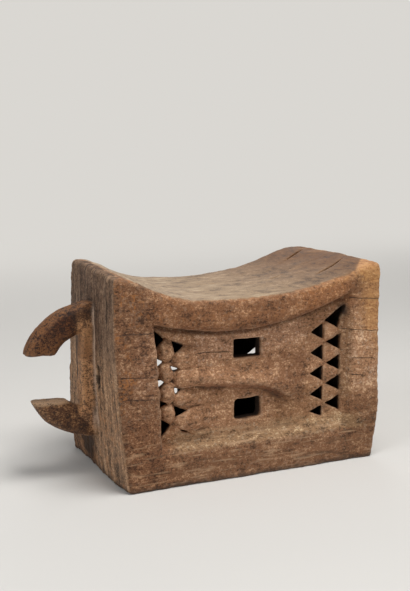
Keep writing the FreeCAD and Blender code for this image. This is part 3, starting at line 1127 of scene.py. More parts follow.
def cut_off(name, source, cutter):
    """What lies inside the cutter gets its own name, and the rest keeps the name it had."""
    members[name], members[source] = split(members[source], cutter)


handle_cutter = closed_solid([[(across, depth, height) for across, height in WALL_LINE]
                              for depth in (-HANDLE_HALF_WIDTH, HANDLE_HALF_WIDTH)])
cut_off("handle_rib", "seat", handle_cutter)
cut_off("upper_horn", "handle_rib", box_cutter(-FAR, HORN_SEAM, HORN_PARTING, FAR))
cut_off("lower_horn", "handle_rib", box_cutter(-FAR, HORN_SEAM, 0.0, HORN_PARTING))
cut_off("left_end_wall", "seat", box_cutter(-FAR, -END_SEAM, BELOW_FLOOR, LEFT_SHOULDER))
cut_off("right_end_wall", "seat", box_cutter(END_SEAM, FAR, BELOW_FLOOR, RIGHT_SHOULDER))
cut_off("front_panel", "seat", under_lip_cutter(-1))
cut_off("back_panel", "seat", under_lip_cutter(1))
cut_off("front_sill", "seat", box_cutter(-FAR, FAR, BELOW_FLOOR, SILL_SEAM, -FAR, 0.0))
cut_off("back_sill", "seat", box_cutter(-FAR, FAR, BELOW_FLOOR, SILL_SEAM, 0.0, FAR))
for side, right_seam in (("front", FRONT_RIGHT_FRET_SEAM), ("back", BACK_RIGHT_FRET_SEAM)):
    panel_name = side + "_panel"
    cut_off(side + "_left_fretwork", panel_name, box_cutter(-FAR, LEFT_FRET_SEAM, 0.0, FAR))
    cut_off(side + "_right_fretwork", panel_name, box_cutter(right_seam, FAR, 0.0, FAR))
print("sections:", [(name, len(mesh.polygons)) for name, mesh in members.items()])

# %% [markdown]
# ## Weathered wood
# The wood is an open-pored brown hardwood that has been handled and left to dry for a long
# time. Its colour is worked out from places in the block, in the same millimetres as the
# carving, so a pattern runs on unbroken from one member to the next. Grain and pores give the
# small scale, stains and greying the large scale, and the two stored attributes add the worn
# edges and the dirt in the hollows.

# %% A group that holds the wood's colour, roughness and height
wood_group = bpy.data.node_groups.new("weathered_wood", "ShaderNodeTree")
for socket_name, socket_type in (("Color", "NodeSocketColor"), ("Roughness", "NodeSocketFloat"),
                                 ("Height", "NodeSocketFloat")):
    wood_group.interface.new_socket(name=socket_name, in_out="OUTPUT", socket_type=socket_type)
Field.tree = wood_group
coordinates = wood_group.nodes.new("ShaderNodeTexCoord")
wood_place = block_millimetres(Field(coordinates.outputs["Object"]))
wx, wy, wz = axes(wood_place)


def stored(name):
    """A number that the carving tree stored on the points."""
    node = wood_group.nodes.new("ShaderNodeAttribute")
    node.attribute_name = name
    return Field(node.outputs["Fac"])


def paint(under, over, amount, mode="MIX"):
    """One colour laid over another. A plain colour is a red, a green and a blue."""
    node = wood_group.nodes.new("ShaderNodeMix")
    node.data_type = "RGBA"
    node.blend_type = mode
    plug(amount, node.inputs[0])
    colour_sockets = [socket for socket in node.inputs if socket.type == "RGBA"]
    for value, socket in zip((under, over), colour_sockets):
        plug(value + (1.0,) if isinstance(value, tuple) else value, socket)
    return Field([socket for socket in node.outputs if socket.type == "RGBA"][0])


edge = stored("edge")
hollow_depth = stored("hollow")
made("a group that holds the wood's colour, roughness and height")

# %% [markdown]
# ## Where each surface lies
# A wash of colour needs to know whether it is on the seat, an end wall, the panel or the handle.
# The same formulas that carved those faces answer that, as numbers from 0 to 1. A material for
# each face would leave a hard border, while these shares run softly into each other.

# %% Shares of each kind of surface
def zone(x=(), y=(), z=()):
    """A region with soft borders. Each pair says where a border begins and where it is full."""
    borders = [ramp(way, *pair) for way, pairs in ((wx, x), (wy, y), (wz, z)) for pair in pairs]
    return reduce(lambda first, second: first * second, borders)


wood_depth_share = ramp(wy, -half_depth, half_depth, style="LINEAR")
below_saddle = wz - saddle_height(wx, wood_depth_share, SADDLE_LOW_Z)
seat_ripple = noise(wood_place, 7.0, detail=1.0, offset=5.0) * 4.0
side_ripple = noise(wood_place, 9.0, offset=6.0) * 6.0
end_ripple = noise(wood_place, 8.0, detail=1.0, offset=8.0) * 6.0
on_seat = ramp(below_saddle + seat_ripple, -7.0, -2.0)
on_seat = on_seat * ramp(magnitude(wy) + side_ripple, 110.0, 104.0)
outside_ends = end_faces(wx, wz, wood_depth_share)
outside_sides = magnitude(wy) - half_depth
on_end = ramp(outside_ends - outside_sides + end_ripple, -2.0, 2.0)
on_end = on_end * ramp(outside_ends, -16.0, -9.0)
on_left_end = on_end * zone(x=[(-150.0, -160.0)])
# Where painted shade darkens the inside of the block nearly to black.
inside = ramp(magnitude(wy), 90.0, 84.0) * ramp(magnitude(wx), 168.0, 150.0)
inside = inside * (1.0 - on_seat) * ramp(below_saddle, -16.0, -24.0)
on_front = zone(y=[(-80.0, -90.0)])
on_panel = zone(x=[(-154.0, -146.0), (164.0, 136.0)], z=[(56.0, 64.0)])
on_panel = on_panel * ramp(magnitude(wy), 110.0, 104.0) * ramp(below_saddle, -40.0, -50.0)
on_lip = zone(y=[(-96.0, -106.0)]) * ramp(magnitude(wx), 168.0, 140.0)
on_lip = on_lip * ramp(below_saddle, -60.0, -44.0)
on_left_post = zone(x=[(-136.0, -150.0)]) * on_front
on_right_post = zone(x=[(136.0, 164.0)], z=[(70.0, 110.0), (256.0, 222.0)]) * on_front
post_light = zone(x=[(150.0, 170.0)], z=[(96.0, 130.0), (236.0, 206.0)]) * on_front
on_handle = zone(x=[(-203.0, -207.0)]) * ramp(magnitude(wy + 3.0), 25.0, 20.0)
on_handle = largest(on_handle, zone(x=[(-206.0, -212.0)]))
made("shares of each kind of surface")

# %% [markdown]
# ## Grain, pores and specks
# Several noises, stretched along the grain, are added up to one number, the tone: low is dark,
# high is pale. The end walls show long upright streaks, the seat is rubbed fine and even, and
# the rough sides are speckled. A picture of wood could be laid on instead, but noise has no
# seams on a shape that is seen from every side.

# %% Small scale
def blend(under, over, share):
    """One number turned into another by a share from 0 to 1."""
    return under + (over - under) * share


grain = noise(wood_place, 1.7, stretch=(18.0, 7.0, 1.0), detail=3.0, rough=0.65, offset=101.0)
long_streaks = noise(wood_place, 5.5, stretch=(14.0, 6.0, 1.0), detail=2.0, offset=103.0)
specks = noise(wood_place, 3.3, stretch=(1.25, 1.0, 1.0), detail=2.0, rough=0.7, offset=107.0)
fine_specks = noise(wood_place, 1.6, stretch=(1.3, 1.0, 1.0), detail=1.0, offset=109.0)
clumps = noise(wood_place, 9.0, stretch=(1.6, 1.0, 1.0), detail=2.0, rough=0.6, offset=111.0)
upright_streaks = noise(wood_place, 3.0, stretch=(2.0, 1.0, 11.0), detail=3.0, rough=0.65,
                        offset=113.0)
broad_uprights = noise(wood_place, 9.0, stretch=(2.0, 1.0, 8.0), detail=2.0, offset=117.0)
blotches = noise(wood_place, 34.0, detail=3.0, rough=0.6, offset=127.0)
rough_side = (specks * 1.25 + fine_specks * 0.75 + grain * 0.3 + long_streaks * 0.4
              + clumps + blotches * 0.7) * ramp(wx, -95.0, -145.0, 1.0, 1.3)
end_side = (specks * 1.4 + fine_specks * 0.9 + upright_streaks * 1.05 + broad_uprights * 1.5
            + clumps * 1.1)
seat_side = (grain * 1.8 + long_streaks * 0.9 + fine_specks * 0.8 + specks * 0.6
             + blotches * 0.6)
handle_side = (specks * 1.5 + fine_specks * 1.4 + upright_streaks * 0.9 + clumps * 0.8
               + blotches * 0.5)
tone = blend(rough_side, end_side, on_end)
tone = blend(tone, seat_side, on_seat)
tone = blend(tone, handle_side, on_handle) + 0.5
made("small scale")

# %% [markdown]
# ## Brown body
# Dark, middle and pale brown follow the tone. Rust-red spots gather on the lip and on the left
# post, where hands and smoke have coloured the wood. A colour ramp would do the same as the two
# mixes, but the mixes can be written as one call with the three colours in it.

# %% Large scale: brown body with rust and pale flecks
def three_tones(dark, middle, pale, to_middle, to_pale):
    """Dark, middle and pale wood after the tone. Each pair says where one turns into the next."""
    wood = paint(dark, middle, ramp(tone, *to_middle))
    return paint(wood, pale, ramp(tone, *to_pale))


brown = three_tones((0.060, 0.027, 0.0125), (0.187, 0.087, 0.041), (0.41, 0.245, 0.138),
                    (0.08, 0.5), (0.55, 1.0))
pale_spots = noise(wood_place, 4.2, stretch=(1.3, 1.0, 1.0), detail=2.0, rough=0.6, offset=129.0)
brown = paint(brown, (0.28, 0.185, 0.122), ramp(pale_spots, 0.05, 0.2) * 0.45)
rust_spots = ramp(noise(wood_place, 4.6, detail=2.0, rough=0.6, offset=131.0), 0.0, 0.14)
rust_patch = ramp(noise(wood_place, 26.0, detail=2.0, offset=133.0), -0.08, 0.08)
rust_area = zone(x=[(-168.0, -184.0)], z=[(96.0, 120.0)])
rust_area = largest(rust_area, zone(x=[(-112.0, -145.0)], z=[(214.0, 234.0)]))
rust_area = rust_area * zone(y=[(-95.0, -108.0)]) * rust_patch
rust = rust_spots * largest(rust_area * 0.85, on_lip * 0.20)
brown = paint(brown, (0.34, 0.135, 0.040), rust)
made("large scale: brown body with rust and pale flecks")

# %% [markdown]
# ## Washes over single regions
# Each part of the front is a little lighter or darker, partly from wear and dirt and partly as
# painted light: the left post is tinted darker and the panel, the splay over the sill and the
# right post paler, as the light grows towards the right. The left post has a pale middle, and
# the lip is warm with a painted brown shade along its underside. Each region is multiplied by a
# thin tint. New colours could be painted there instead, but they would hide the grain, and a tint
# keeps it.

# %% Region by region
def tinted(base, tint, amount):
    """The base multiplied by a tint, as a thin wash of colour would do."""
    return paint(base, paint(base, tint, 1.0, "MULTIPLY"), amount)


def washed(base, washes):
    """Several tints, one after the other, each over its own region."""
    for tint, amount in washes:
        base = tinted(base, tint, amount)
    return base


on_splay = zone(x=[(-140.0, -100.0)], y=[(-88.0, -96.0)], z=[(44.0, 52.0), (76.0, 64.0)])
on_splay = on_splay * ramp(wx + (wz - 78.0) * 0.9 + blotches * 20.0, 174.0, 138.0)
on_boss = ramp(wx + blotches * 20.0, 12.0, 34.0) * zone(x=[(100.0, 84.0)])
on_boss = on_boss * ramp(magnitude(wz - 132.0), 44.0, 30.0)
post_middle = on_left_post * zone(x=[(-184.0, -170.0)], z=[(118.0, 150.0), (222.0, 206.0)])
above_lip_edge = wz - lip_height(wx, LIP_LOW_Z)
# Painted shade along the lip's underside, which faces down, away from the light.
painted_shade_lip_underside = hump(above_lip_edge + blotches * 12.0, 0.0, 17.0) * zone(y=[(-90.0, -100.0)])
painted_shade_lip_underside = painted_shade_lip_underside * ramp(magnitude(wx), 165.0, 140.0) * (1.0 - on_panel)
panel_top = on_panel * ramp(above_lip_edge, -48.0, -24.0) * ramp(magnitude(wx), 100.0, 70.0)
# Painted light and shade: the left post is tinted darker and the panel, the splay and the right
# post paler, partly for light that grows towards the right.
brown = washed(brown, (
    ((0.88, 0.855, 0.845), on_left_post), ((1.22, 1.26, 1.34), post_middle),
    ((1.15, 1.10, 1.05), on_lip), ((1.16, 1.12, 1.04), on_lip * zone(x=[(50.0, 90.0)])),
    ((0.66, 0.58, 0.53), painted_shade_lip_underside), ((1.62, 1.72, 1.82), on_panel),
    ((1.26, 1.34, 1.50), panel_top), ((0.78, 0.74, 0.72), on_boss * on_panel),
    ((1.36, 1.68, 1.80), on_splay), ((1.38, 1.46, 1.52), on_right_post),
    ((1.36, 1.44, 1.52), post_light)))
made("region by region")

# %% [markdown]
# ## Streaks on the right post and the sill
# Rain and hands have drawn pale and dark streaks: upright ones on the right post, and long ones
# that follow the grain of the sill. They are painted over the washes and not multiplied in,
# because a tint cannot make a dark spot pale.

# %% Streaks
post_streaks = ramp(broad_uprights, -0.05, 0.12) * post_light * ramp(tone, 0.3, 0.8)
brown = paint(brown, (0.48, 0.355, 0.26), post_streaks * 0.5)
on_sill = ramp(wz + largest(wx - 140.0, 0.0) * 0.9, 80.0, 60.0)
pale_lines = noise(wood_place, 4.5, stretch=(11.0, 6.0, 1.0), detail=2.0, offset=119.0)
brown = paint(brown, (0.40, 0.265, 0.16), ramp(pale_lines, 0.04, 0.16) * on_sill * 0.5)
dark_lines = noise(wood_place, 5.0, stretch=(10.0, 6.0, 1.0), detail=2.0, offset=121.0)
dark_streaks = ramp(dark_lines, 0.06, 0.2) * on_sill * (1.0 - on_splay * 0.8)
brown = paint(brown, (0.048, 0.024, 0.012), dark_streaks * 0.5)
made("streaks")

# %% [markdown]
# ## Painted shade in the corners and under the ridge
# The low corners of the recess, the panel under the boss and the splay on the right are tinted
# darker: painted shade. A painted dark band lies right below the ridge that crosses the panel.
# The lamps alone would shade these places too softly, so the shade is painted in.

# %% Painted shade in the corners
# Painted shade in the low corners, under the boss and on the splay at the right.
painted_shade_low_left = zone(x=[(-105.0, -130.0)], z=[(112.0, 92.0)]) * on_front
painted_shade_low_right = zone(x=[(144.0, 156.0)], z=[(112.0, 84.0)]) * on_front
painted_shade_under_boss = zone(x=[(22.0, 48.0)], z=[(128.0, 108.0)]) * on_panel * on_front
painted_shade_right_splay = zone(x=[(139.0, 146.0), (163.0, 154.0)], z=[(84.0, 100.0), (232.0, 214.0)])
# Painted shade in a band right below the ridge.
under_edge = ridge_edge(wx) - wz + clumps * 8.0
painted_shade_below_ridge = ramp(under_edge, -7.0, 1.0) * ramp(under_edge, 13.0, 2.0)
painted_shade_below_ridge = painted_shade_below_ridge * zone(x=[(-92.0, -60.0), (66.0, 44.0)]) * on_panel * on_front
brown = washed(brown, (
    ((0.96, 0.90, 0.84), painted_shade_low_left), ((0.89, 0.87, 0.84), painted_shade_low_right),
    ((0.87, 0.87, 0.83), painted_shade_under_boss), ((0.76, 0.78, 0.77), painted_shade_right_splay * on_front),
    ((0.50, 0.39, 0.33), painted_shade_below_ridge * 0.8)))
made("darker corners")

# %% [markdown]
# ## Grey end walls
# End grain drinks in dirt and dries grey. The left wall is nearly black towards the top and
# warmer below, with pale and dark streaks running down it. The three tones of the brown body
# are mixed again in greyer colours, and noise breaks up the border of the dark top, because a
# straight gradient would look sprayed on. Low on the wall behind the handle's foot, a darker
# tint is the handle's painted shadow.

# %% Grey end walls
grey_wood = three_tones((0.058, 0.038, 0.025), (0.225, 0.143, 0.087), (0.47, 0.335, 0.215),
                        (0.1, 0.52), (0.55, 1.0))
warm_spots = ramp(clumps, 0.02, 0.16) * zone(z=[(215.0, 130.0)])
grey_wood = paint(grey_wood, (0.25, 0.115, 0.044), warm_spots * 0.5)
top_dark = ramp(wz + clumps * 60.0 + broad_uprights * 70.0, 150.0, 205.0) * on_left_end
# Painted shadow of the handle, low on the wall behind its foot.
painted_horn_shadow = zone(y=[(-8.0, 16.0)], z=[(84.0, 56.0)]) * on_left_end
grey_wood = washed(grey_wood, (
    ((0.42, 0.41, 0.44), top_dark * ramp(wy, -85.0, -30.0, 0.82, 1.0)),
    ((0.66, 0.54, 0.43), painted_horn_shadow), ((1.14, 1.04, 0.96), on_left_end)))
colour = paint(brown, grey_wood, on_end * 0.92)
made("grey end walls")

# %% [markdown]
# ## Rubbed seat
# Sitting has polished the middle of the saddle to a pale grey-brown. Towards the right end it
# keeps more of its brown. That could be a patch with a border, but the photograph shows none,
# so one long ramp along the seat does it, stirred by large blotches.

# %% Pale seat
seat_wood = three_tones((0.110, 0.068, 0.040), (0.268, 0.184, 0.110), (0.41, 0.312, 0.212),
                        (0.05, 0.5), (0.55, 1.0))
seat_run = wx + blotches * 60.0 + (wy + 20.0) * 0.25
seat_brown = ramp(seat_run, -10.0, 165.0, style="LINEAR")
seat_wood = washed(seat_wood, (
    ((0.96, 0.945, 0.91), zone(x=[(-95.0, -30.0)])), ((0.44, 0.272, 0.150), seat_brown)))
colour = paint(colour, seat_wood, on_seat)
made("pale seat")

# %% [markdown]
# ## Handle
# Palms have darkened the horns almost to black-brown, the rib between them keeps an orange
# brown, and the flat ends where the ring breaks off are paler. The three could be materials of
# their own, but the rib runs into both horns, so one material with soft zones fits better.

# %% Dark handle with an orange rib
handle_wood = three_tones((0.030, 0.013, 0.006), (0.098, 0.041, 0.016), (0.26, 0.135, 0.060),
                          (0.15, 0.65), (0.62, 1.0))
upper_side = zone(x=[(-222.0, -236.0)], y=[(2.0, -10.0)], z=[(158.0, 168.0)])
handle_wood = tinted(handle_wood, (0.51, 0.34, 0.20), upper_side)
above_horn = (wx + 240.0) * 43.0 / 36.0 + wz - 108.0 + clumps * 14.0
on_rib = ramp(above_horn, -4.0, 4.0) * zone(x=[(-229.0, -224.0)], z=[(232.0, 212.0)])
rib_wood = three_tones((0.100, 0.048, 0.025), (0.40, 0.206, 0.095), (0.53, 0.27, 0.115),
                       (0.15, 0.65), (0.6, 1.0))
handle_wood = paint(handle_wood, rib_wood, on_rib)
ring_reach = length_of(wx - RING_X, wz - RING_Z) + specks * 10.0
horn_end = ramp(wz + clumps * 14.0, 222.0, 186.0) * zone(z=[(165.0, 172.0)])
horn_rubbed = ramp(ring_reach, 84.0, 94.0) * zone(z=[(165.0, 190.0)])
horn_rubbed = largest(horn_rubbed, horn_end * 0.8) * ramp(tone, 0.2, 0.6)
handle_wood = paint(handle_wood, (0.175, 0.070, 0.022), horn_rubbed * 0.75)
cut_top = ramp(magnitude(wz - RING_Z + GAP_BELOW), 5.0, 2.0) * zone(x=[(-226.0, -232.0)])
handle_wood = paint(handle_wood, (0.245, 0.150, 0.083), cut_top * ramp(tone, 0.1, 0.5))
colour = paint(colour, handle_wood, on_handle)
made("dark handle with an orange rib")

# %% [markdown]
# ## Painted shadow and highlight round the handle
# The shadow that the handle casts is painted on the wall round its foot. A pale line beside the
# rib is a painted highlight, where the fillet between rib and wall catches the light, and a thin
# dark line behind the rib is painted shadow. All three are drawn by the distance from a point or
# a line, so they need no picture.

# %% Painted shadow round the handle's foot, and the lines beside the rib
# Painted shadow that the handle casts on the wall round its foot.
painted_handle_shadow = ramp(length_of((wy - 36.0) / 34.0, (wz - 38.0) / 32.0) + clumps, 1.2, 0.65)
painted_handle_shadow = painted_handle_shadow * on_left_end * zone(x=[(-213.0, -207.0)])
colour = paint(colour, (0.028, 0.013, 0.006), painted_handle_shadow * 0.88)
# Painted highlight on the wall beside the rib, where the fillet catches the light.
pale_waves = noise(wood_place, 20.0, offset=143.0) * 3.0
painted_rib_highlight = hump(wy + pale_waves, -20.5, 3.5) * on_left_end
painted_rib_highlight = painted_rib_highlight * zone(x=[(-209.0, -204.0)], z=[(62.0, 80.0), (250.0, 235.0)])
# Painted shadow in a thin line along the rib's back edge.
dark_waves = noise(wood_place, 20.0, offset=147.0) * 4.0
painted_rib_shadow = hump(wy + dark_waves, 4.5, 6.5)
painted_rib_shadow = painted_rib_shadow * zone(x=[(-207.0, -213.0), (-226.0, -223.0)],
                               z=[(128.0, 146.0), (208.0, 196.0)])
colour = paint(colour, (0.026, 0.014, 0.008), painted_rib_shadow * 0.9)
made("soot round the handle's foot, and the lines beside the rib")

# %% [markdown]
# ## Fresh corner
# The right front corner is worn through the dark skin down to yellow wood, with a ragged border.
# The patch is a ball round the corner and a strip below it. Noise added to the distance tears
# the border, which a plain soft edge would not do.

# %% The worn corner, where the wood is still fresh and yellow
corner_way = length_of((wx - 194.0) / 34.0, (wy + 104.0) / 34.0, (wz - 284.0) / 26.0)
ragged = noise(wood_place, 9.0, detail=3.0, rough=0.65, offset=137.0)
fresh = ramp(corner_way + ragged * 1.6, 1.25, 0.65)
seat_border = ramp(wx - 157.0 - (wy + 112.0) * 0.93 + ragged * 14.0, -5.0, 5.0)
fresh = fresh * largest(seat_border, 1.0 - on_seat)
top_rim = ramp(magnitude(below_saddle + 5.0), 8.0, 2.0) * ramp(ragged, -0.08, 0.14)
top_rim = top_rim * zone(x=[(60.0, 165.0)], y=[(-98.0, -106.0)])
strip = ramp(wx + ragged * 24.0, 161.0, 186.0) * zone(z=[(186.0, 196.0), (280.0, 262.0)])
strip = strip * ramp(wz + ragged * 30.0, 238.0, 262.0, 0.85, 0.62)
rim = ramp(wx + ragged * 26.0, 180.0, 200.0) * zone(z=[(130.0, 190.0)])
strip = largest(strip, rim * 0.55) * zone(y=[(-84.0, -104.0)])
fresh_wood = three_tones((0.26, 0.110, 0.040), (0.45, 0.232, 0.090), (0.62, 0.38, 0.18),
                         (0.15, 0.5), (0.6, 1.0))
fresh_wood = washed(fresh_wood, (
    ((0.58, 0.48, 0.40), ramp(clumps + blotches * 0.8, 0.04, 0.22) * 0.8),
    ((0.97, 0.96, 0.95), 1.0)))
colour = paint(colour, fresh_wood, largest(fresh, top_rim * 0.6, strip))
made("the worn corner, where the wood is still fresh and yellow")

# %% [markdown]
# ## Hairline checks
# The fine cracks across both posts and one on the panel are narrower than the skin's grid, so
# carving them would lose them. They are drawn as dark lines between two points each, and
# lowered in the bump.

# %% Drying checks on the front, too fine to carve
HAIRLINES = (((-203.0, 218.0), (-147.0, 216.0)), ((-199.0, 161.0), (-150.0, 157.0)),
             ((-199.0, 131.0), (-150.0, 127.0)), ((152.0, 242.0), (203.0, 238.5)),
             ((143.0, 196.5), (204.0, 191.0)), ((158.0, 154.0), (198.0, 150.0)),
             ((155.0, 129.0), (181.0, 126.0)), ((-84.0, 180.5), (-30.0, 177.5)))
# Near black, for the hairline cracks and for painted shade.
BLACK_CRACK_AND_SHADE = (0.022, 0.012, 0.008)
hair_wave = noise(wood_place, 8.0, detail=2.0, offset=149.0) * 3.0


def hairline(start, end):
    """A thin wavering line between two points on the front."""
    (from_x, from_z), (to_x, to_z) = start, end
    half = (to_x - from_x) / 2
    line_height = (wx - from_x) * ((to_z - from_z) / (to_x - from_x)) + from_z + hair_wave
    from_middle = magnitude(wx - (from_x + to_x) / 2)
    return ramp(magnitude(wz - line_height), 0.9, 0.25) * ramp(from_middle, half + 3.0, half - 6.0)


hair = largest(*(hairline(*ends) for ends in HAIRLINES)) * zone(y=[(-84.0, -90.0)])
colour = paint(colour, BLACK_CRACK_AND_SHADE, hair * 0.85)
made("drying checks on the front, too fine to carve")

# %% [markdown]
# ## Dirt, wear and painted shade
# The two numbers that the carving tree stored are used here: what stands out is rubbed pale, and
# what lies low keeps dirt. A node that feels for near walls could find the hollows too, but it
# is slow and has to be worked out again for each picture. Shade is painted in as well: a dark
# band on the panel under the lip, a dark patch in the corner by the top right hole, a dark knot
# pit, and near black on the inside of the block. The foot is darker for its lowest centimetre.

# %% Dirt in the hollows and wear on the edges, and painted shade
on_arris = ramp(outside_ends, -12.0, -4.0) * ramp(outside_sides, -12.0, -4.0)
on_arris = on_arris * zone(x=[(0.0, -100.0)])
wear = ramp(edge + specks * 0.8, 0.2, 1.1) * (1.0 - on_seat * 0.6) * (1.0 - on_handle * 0.6)
wear = wear * (1.0 - on_arris * 0.7)
colour = paint(colour, (0.39, 0.255, 0.158), wear * 0.3)
dirt = ramp(hollow_depth + specks * 1.1 + clumps * 0.9, 0.8, 3.0) * ramp(wz, 62.0, 76.0, 0.25, 1.0)
rib_side = zone(x=[(-196.0, -201.0)], y=[(-32.0, -26.0)], z=[(62.0, 76.0), (240.0, 228.0)])
right_corner = zone(x=[(130.0, 142.0)]) * ramp(magnitude(wy), 88.0, 94.0)
dirt = dirt * (1.0 - on_seat * 0.85) * (1.0 - rib_side * 0.85) * (1.0 - right_corner * 0.4)
# Painted shade in the knot pit.
knot = ramp(length_of((wy - KNOT_Y) / 9.0, (wz - KNOT_Z) / 18.0) + clumps * 1.2, 1.15, 0.75)
# Painted shade in the corner by the top right hole.
corner_shade = ramp(length_of((wx - 148.0) / 10.0, (wz - 224.0) / 12.0), 1.2, 0.3)
corner_shade = corner_shade * zone(y=[(-110.0, -99.0), (-40.0, -60.0)])
check_dark = ramp(edge, -0.5, -1.1) * on_seat
# Painted shadow on the panel right under the lip.
painted_shade_below_lip = hump(above_lip_edge, 1.0, 8.0) * ramp(magnitude(wy), 113.0, 104.0) * on_panel
# Dirt in the hollows and the seat's dark checks, then the painted highlight beside the rib and
# painted shade in the knot pit, the corner by the top right hole, under the lip and inside the
# block.
for layer, amount in (
        ((0.022, 0.012, 0.007), dirt * 0.85),
        ((0.42, 0.30, 0.22), painted_rib_highlight * ramp(tone, 0.1, 0.6, 0.4, 0.9)),
        ((0.024, 0.015, 0.010), knot * on_left_end * 0.85),
        (BLACK_CRACK_AND_SHADE, corner_shade * 0.9), ((0.030, 0.018, 0.011), check_dark * 0.9),
        ((0.045, 0.019, 0.010), painted_shade_below_lip * 0.45), ((0.018, 0.011, 0.007), inside * 0.94)):
    colour = paint(colour, layer, amount)
# The left arris is tinted darker in ragged patches towards the foot.
darker_arris_patches = on_arris * ramp(clumps, -0.12, 0.08) * zone(z=[(170.0, 120.0)])
colour = tinted(colour, (0.70, 0.68, 0.66), darker_arris_patches)
# Darker for the lowest centimetre of the foot.
foot = ramp(wz + noise(wood_place, 6.0, offset=151.0) * 8.0, 10.0, 1.0)
colour = paint(colour, (0.036, 0.021, 0.014), foot * 0.75)
made("dirt in the hollows and wear on the edges")

# %% [markdown]
# ## Sheen and relief
# Rubbed wood is smoother than weathered wood, so the roughness follows the seat, the handle and
# the wear. The height feeds a bump for what is too fine to carve: as real shape it would take
# millions of faces.

# %% Roughness and height
rough_value = 0.88 - on_seat * 0.26 - wear * 0.10 - on_handle * 0.14 + specks * 0.15
height = specks * 0.6 + fine_specks * 0.4 + grain * 0.25
height = blend(height, upright_streaks * 1.2 + specks * 0.5, on_end)
height = blend(height, grain * 0.45 + fine_specks * 0.15, on_seat) - hair * 0.8
wood_out = wood_group.nodes.new("NodeGroupOutput")
for value, socket_name in ((colour, "Color"), (rough_value, "Roughness"), (height, "Height")):
    plug(value, wood_out.inputs[socket_name])
made("roughness and height")

# %% [markdown]
# ## One material for each slot
# The real wood is one piece, so all five slots use the same group and differ only in name. They
# could share one material, but the shared model wants to find each slot's own. What is the same
# all over, the sheen and the strength of the bump, is set on the nodes themselves.

# %% Five materials
SHEEN = 0.35
BUMP_STRENGTH, BUMP_HEIGHT = 0.8, 0.0012


def wood_material(name):
    """A material that takes its colour, roughness and bump from the wood group."""
    material = bpy.data.materials.new(name)
    material.use_nodes = True
    tree = material.node_tree
    shader = tree.nodes["Principled BSDF"]
    group = tree.nodes.new("ShaderNodeGroup")
    group.node_tree = wood_group
    bump = tree.nodes.new("ShaderNodeBump")
    bump.inputs["Strength"].default_value = BUMP_STRENGTH
    bump.inputs["Distance"].default_value = BUMP_HEIGHT
    shader.inputs["Specular IOR Level"].default_value = SHEEN
    for giver, taker in ((group.outputs["Color"], shader.inputs["Base Color"]),
                         (group.outputs["Roughness"], shader.inputs["Roughness"]),
                         (group.outputs["Height"], bump.inputs["Height"]),
                         (bump.outputs["Normal"], shader.inputs["Normal"])):
        tree.links.new(giver, taker)
    return material


materials = {slot: wood_material("weathered_" + slot)
             for slot in ("seat_wood", "end_wood", "frame_wood", "panel_wood", "handle_wood")}
print("wood tree:", len(wood_group.nodes), "nodes;", "carving tree:", len(carving.nodes), "nodes")

# %% [markdown]
# ## Shading across the cuts
# The real block has no seams, and a cut edge would show as a thin line if the shading stopped
# there. Joining the members again would hide it, but they have to stay separate. So every corner
# of an outer face is given the normal that the whole skin had, and only the cut faces stay flat.

# %% Keep the skin's normals
def keep_skin_normals(mesh):
    """Outer faces are shaded with the skin's own normals, cut faces stay flat."""
    corners = np.empty(len(mesh.loops), dtype=np.int32)
    mesh.loops.foreach_get("vertex_index", corners)
    stored_normals = np.empty(len(mesh.vertices) * 3, dtype=np.float32)
    mesh.attributes["skin_normal"].data.foreach_get("vector", stored_normals)
    corner_normals = stored_normals.reshape(-1, 3)[corners]
    sizes = np.empty(len(mesh.polygons), dtype=np.int32)
    mesh.polygons.foreach_get("loop_total", sizes)
    cut_faces = np.empty(len(mesh.polygons), dtype=np.int32)
    mesh.polygons.foreach_get("material_index", cut_faces)
    flat = np.empty(len(mesh.polygons) * 3, dtype=np.float32)
    mesh.polygons.foreach_get("normal", flat)
    is_cut = np.repeat(cut_faces > 0, sizes)
    corner_normals[is_cut] = np.repeat(flat.reshape(-1, 3), sizes, axis=0)[is_cut]
    lengths = np.linalg.norm(corner_normals, axis=1, keepdims=True)
    corner_normals = corner_normals / np.maximum(lengths, 1e-6)
    mesh.normals_split_custom_set(corner_normals.tolist())
    mesh.attributes.remove(mesh.attributes["skin_normal"])


print("shading helper: keep_skin_normals")

# %% [markdown]
# ## Crumbs
# A carver brushes the crumbs off. A cut through a rough skin can leave flakes that are not
# joined to their member, and a thin hole can end in a bubble. A limit on size could miss some,
# so only the largest connected shell of each member stays.

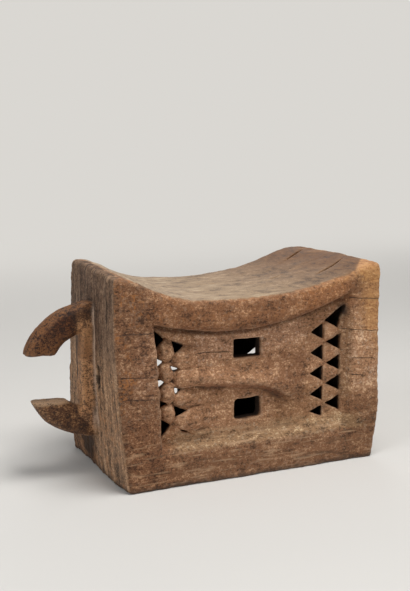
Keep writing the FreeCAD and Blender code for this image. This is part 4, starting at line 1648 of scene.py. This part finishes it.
# %% Take the crumbs away
def shells(bm):
    """The points of each separate closed shell, the largest shell last."""
    seen, found = set(), []
    for start in bm.verts:
        if start in seen:
            continue
        seen.add(start)
        shell = [start]
        for vert in shell:
            for link in vert.link_edges:
                other = link.other_vert(vert)
                if other not in seen:
                    seen.add(other)
                    shell.append(other)
        found.append(shell)
    return sorted(found, key=len)


def without_crumbs(mesh):
    """Only the largest shell stays: a cut can leave a flake, and a thin hole a bubble."""
    bm = bmesh.new()
    bm.from_mesh(mesh)
    crumbs = shells(bm)[:-1]
    for crumb in crumbs:
        bmesh.ops.delete(bm, geom=crumb, context="VERTS")
    triangles = sum(len(face.verts) - 2 for face in bm.faces)
    open_edges = sum(not side.is_manifold for side in bm.edges)
    print(f"{triangles} triangles, {open_edges} open edges, {bm.calc_volume() * 1e6:.0f} cm3,",
          "crumbs taken away, in points:", [len(crumb) for crumb in crumbs])
    bm.to_mesh(mesh)
    bm.free()


print("cleaning helpers: shells, without_crumbs")

# %% [markdown]
# ## Finishing the members
# Each member is cleaned, shaded and given its material. Then it gets its place in the moving
# frame, the name of the node that it stands for, and its slot. A table of names and slots does
# this in one loop, where fourteen blocks of the same lines would hide the differences.

# %% One object for each member
SLOT_OF = {"upper_horn": "handle_wood", "lower_horn": "handle_wood",
           "handle_rib": "handle_wood", "left_end_wall": "end_wood",
           "right_end_wall": "end_wood", "front_sill": "frame_wood",
           "back_sill": "frame_wood", "seat": "seat_wood",
           "front_left_fretwork": "panel_wood", "front_right_fretwork": "panel_wood",
           "front_panel": "panel_wood", "back_left_fretwork": "panel_wood",
           "back_right_fretwork": "panel_wood", "back_panel": "panel_wood"}

for node_name, slot_name in SLOT_OF.items():
    mesh = members[node_name]
    print(node_name, end=": ")
    without_crumbs(mesh)
    keep_skin_normals(mesh)
    mesh.materials.clear()
    mesh.materials.append(materials[slot_name])
    mesh.polygons.foreach_set("material_index", np.zeros(len(mesh.polygons), dtype=np.int32))
    member = bpy.data.objects.new("carved_" + node_name, mesh)
    bpy.context.scene.collection.objects.link(member)
    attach(member, "root")
    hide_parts(node_name)
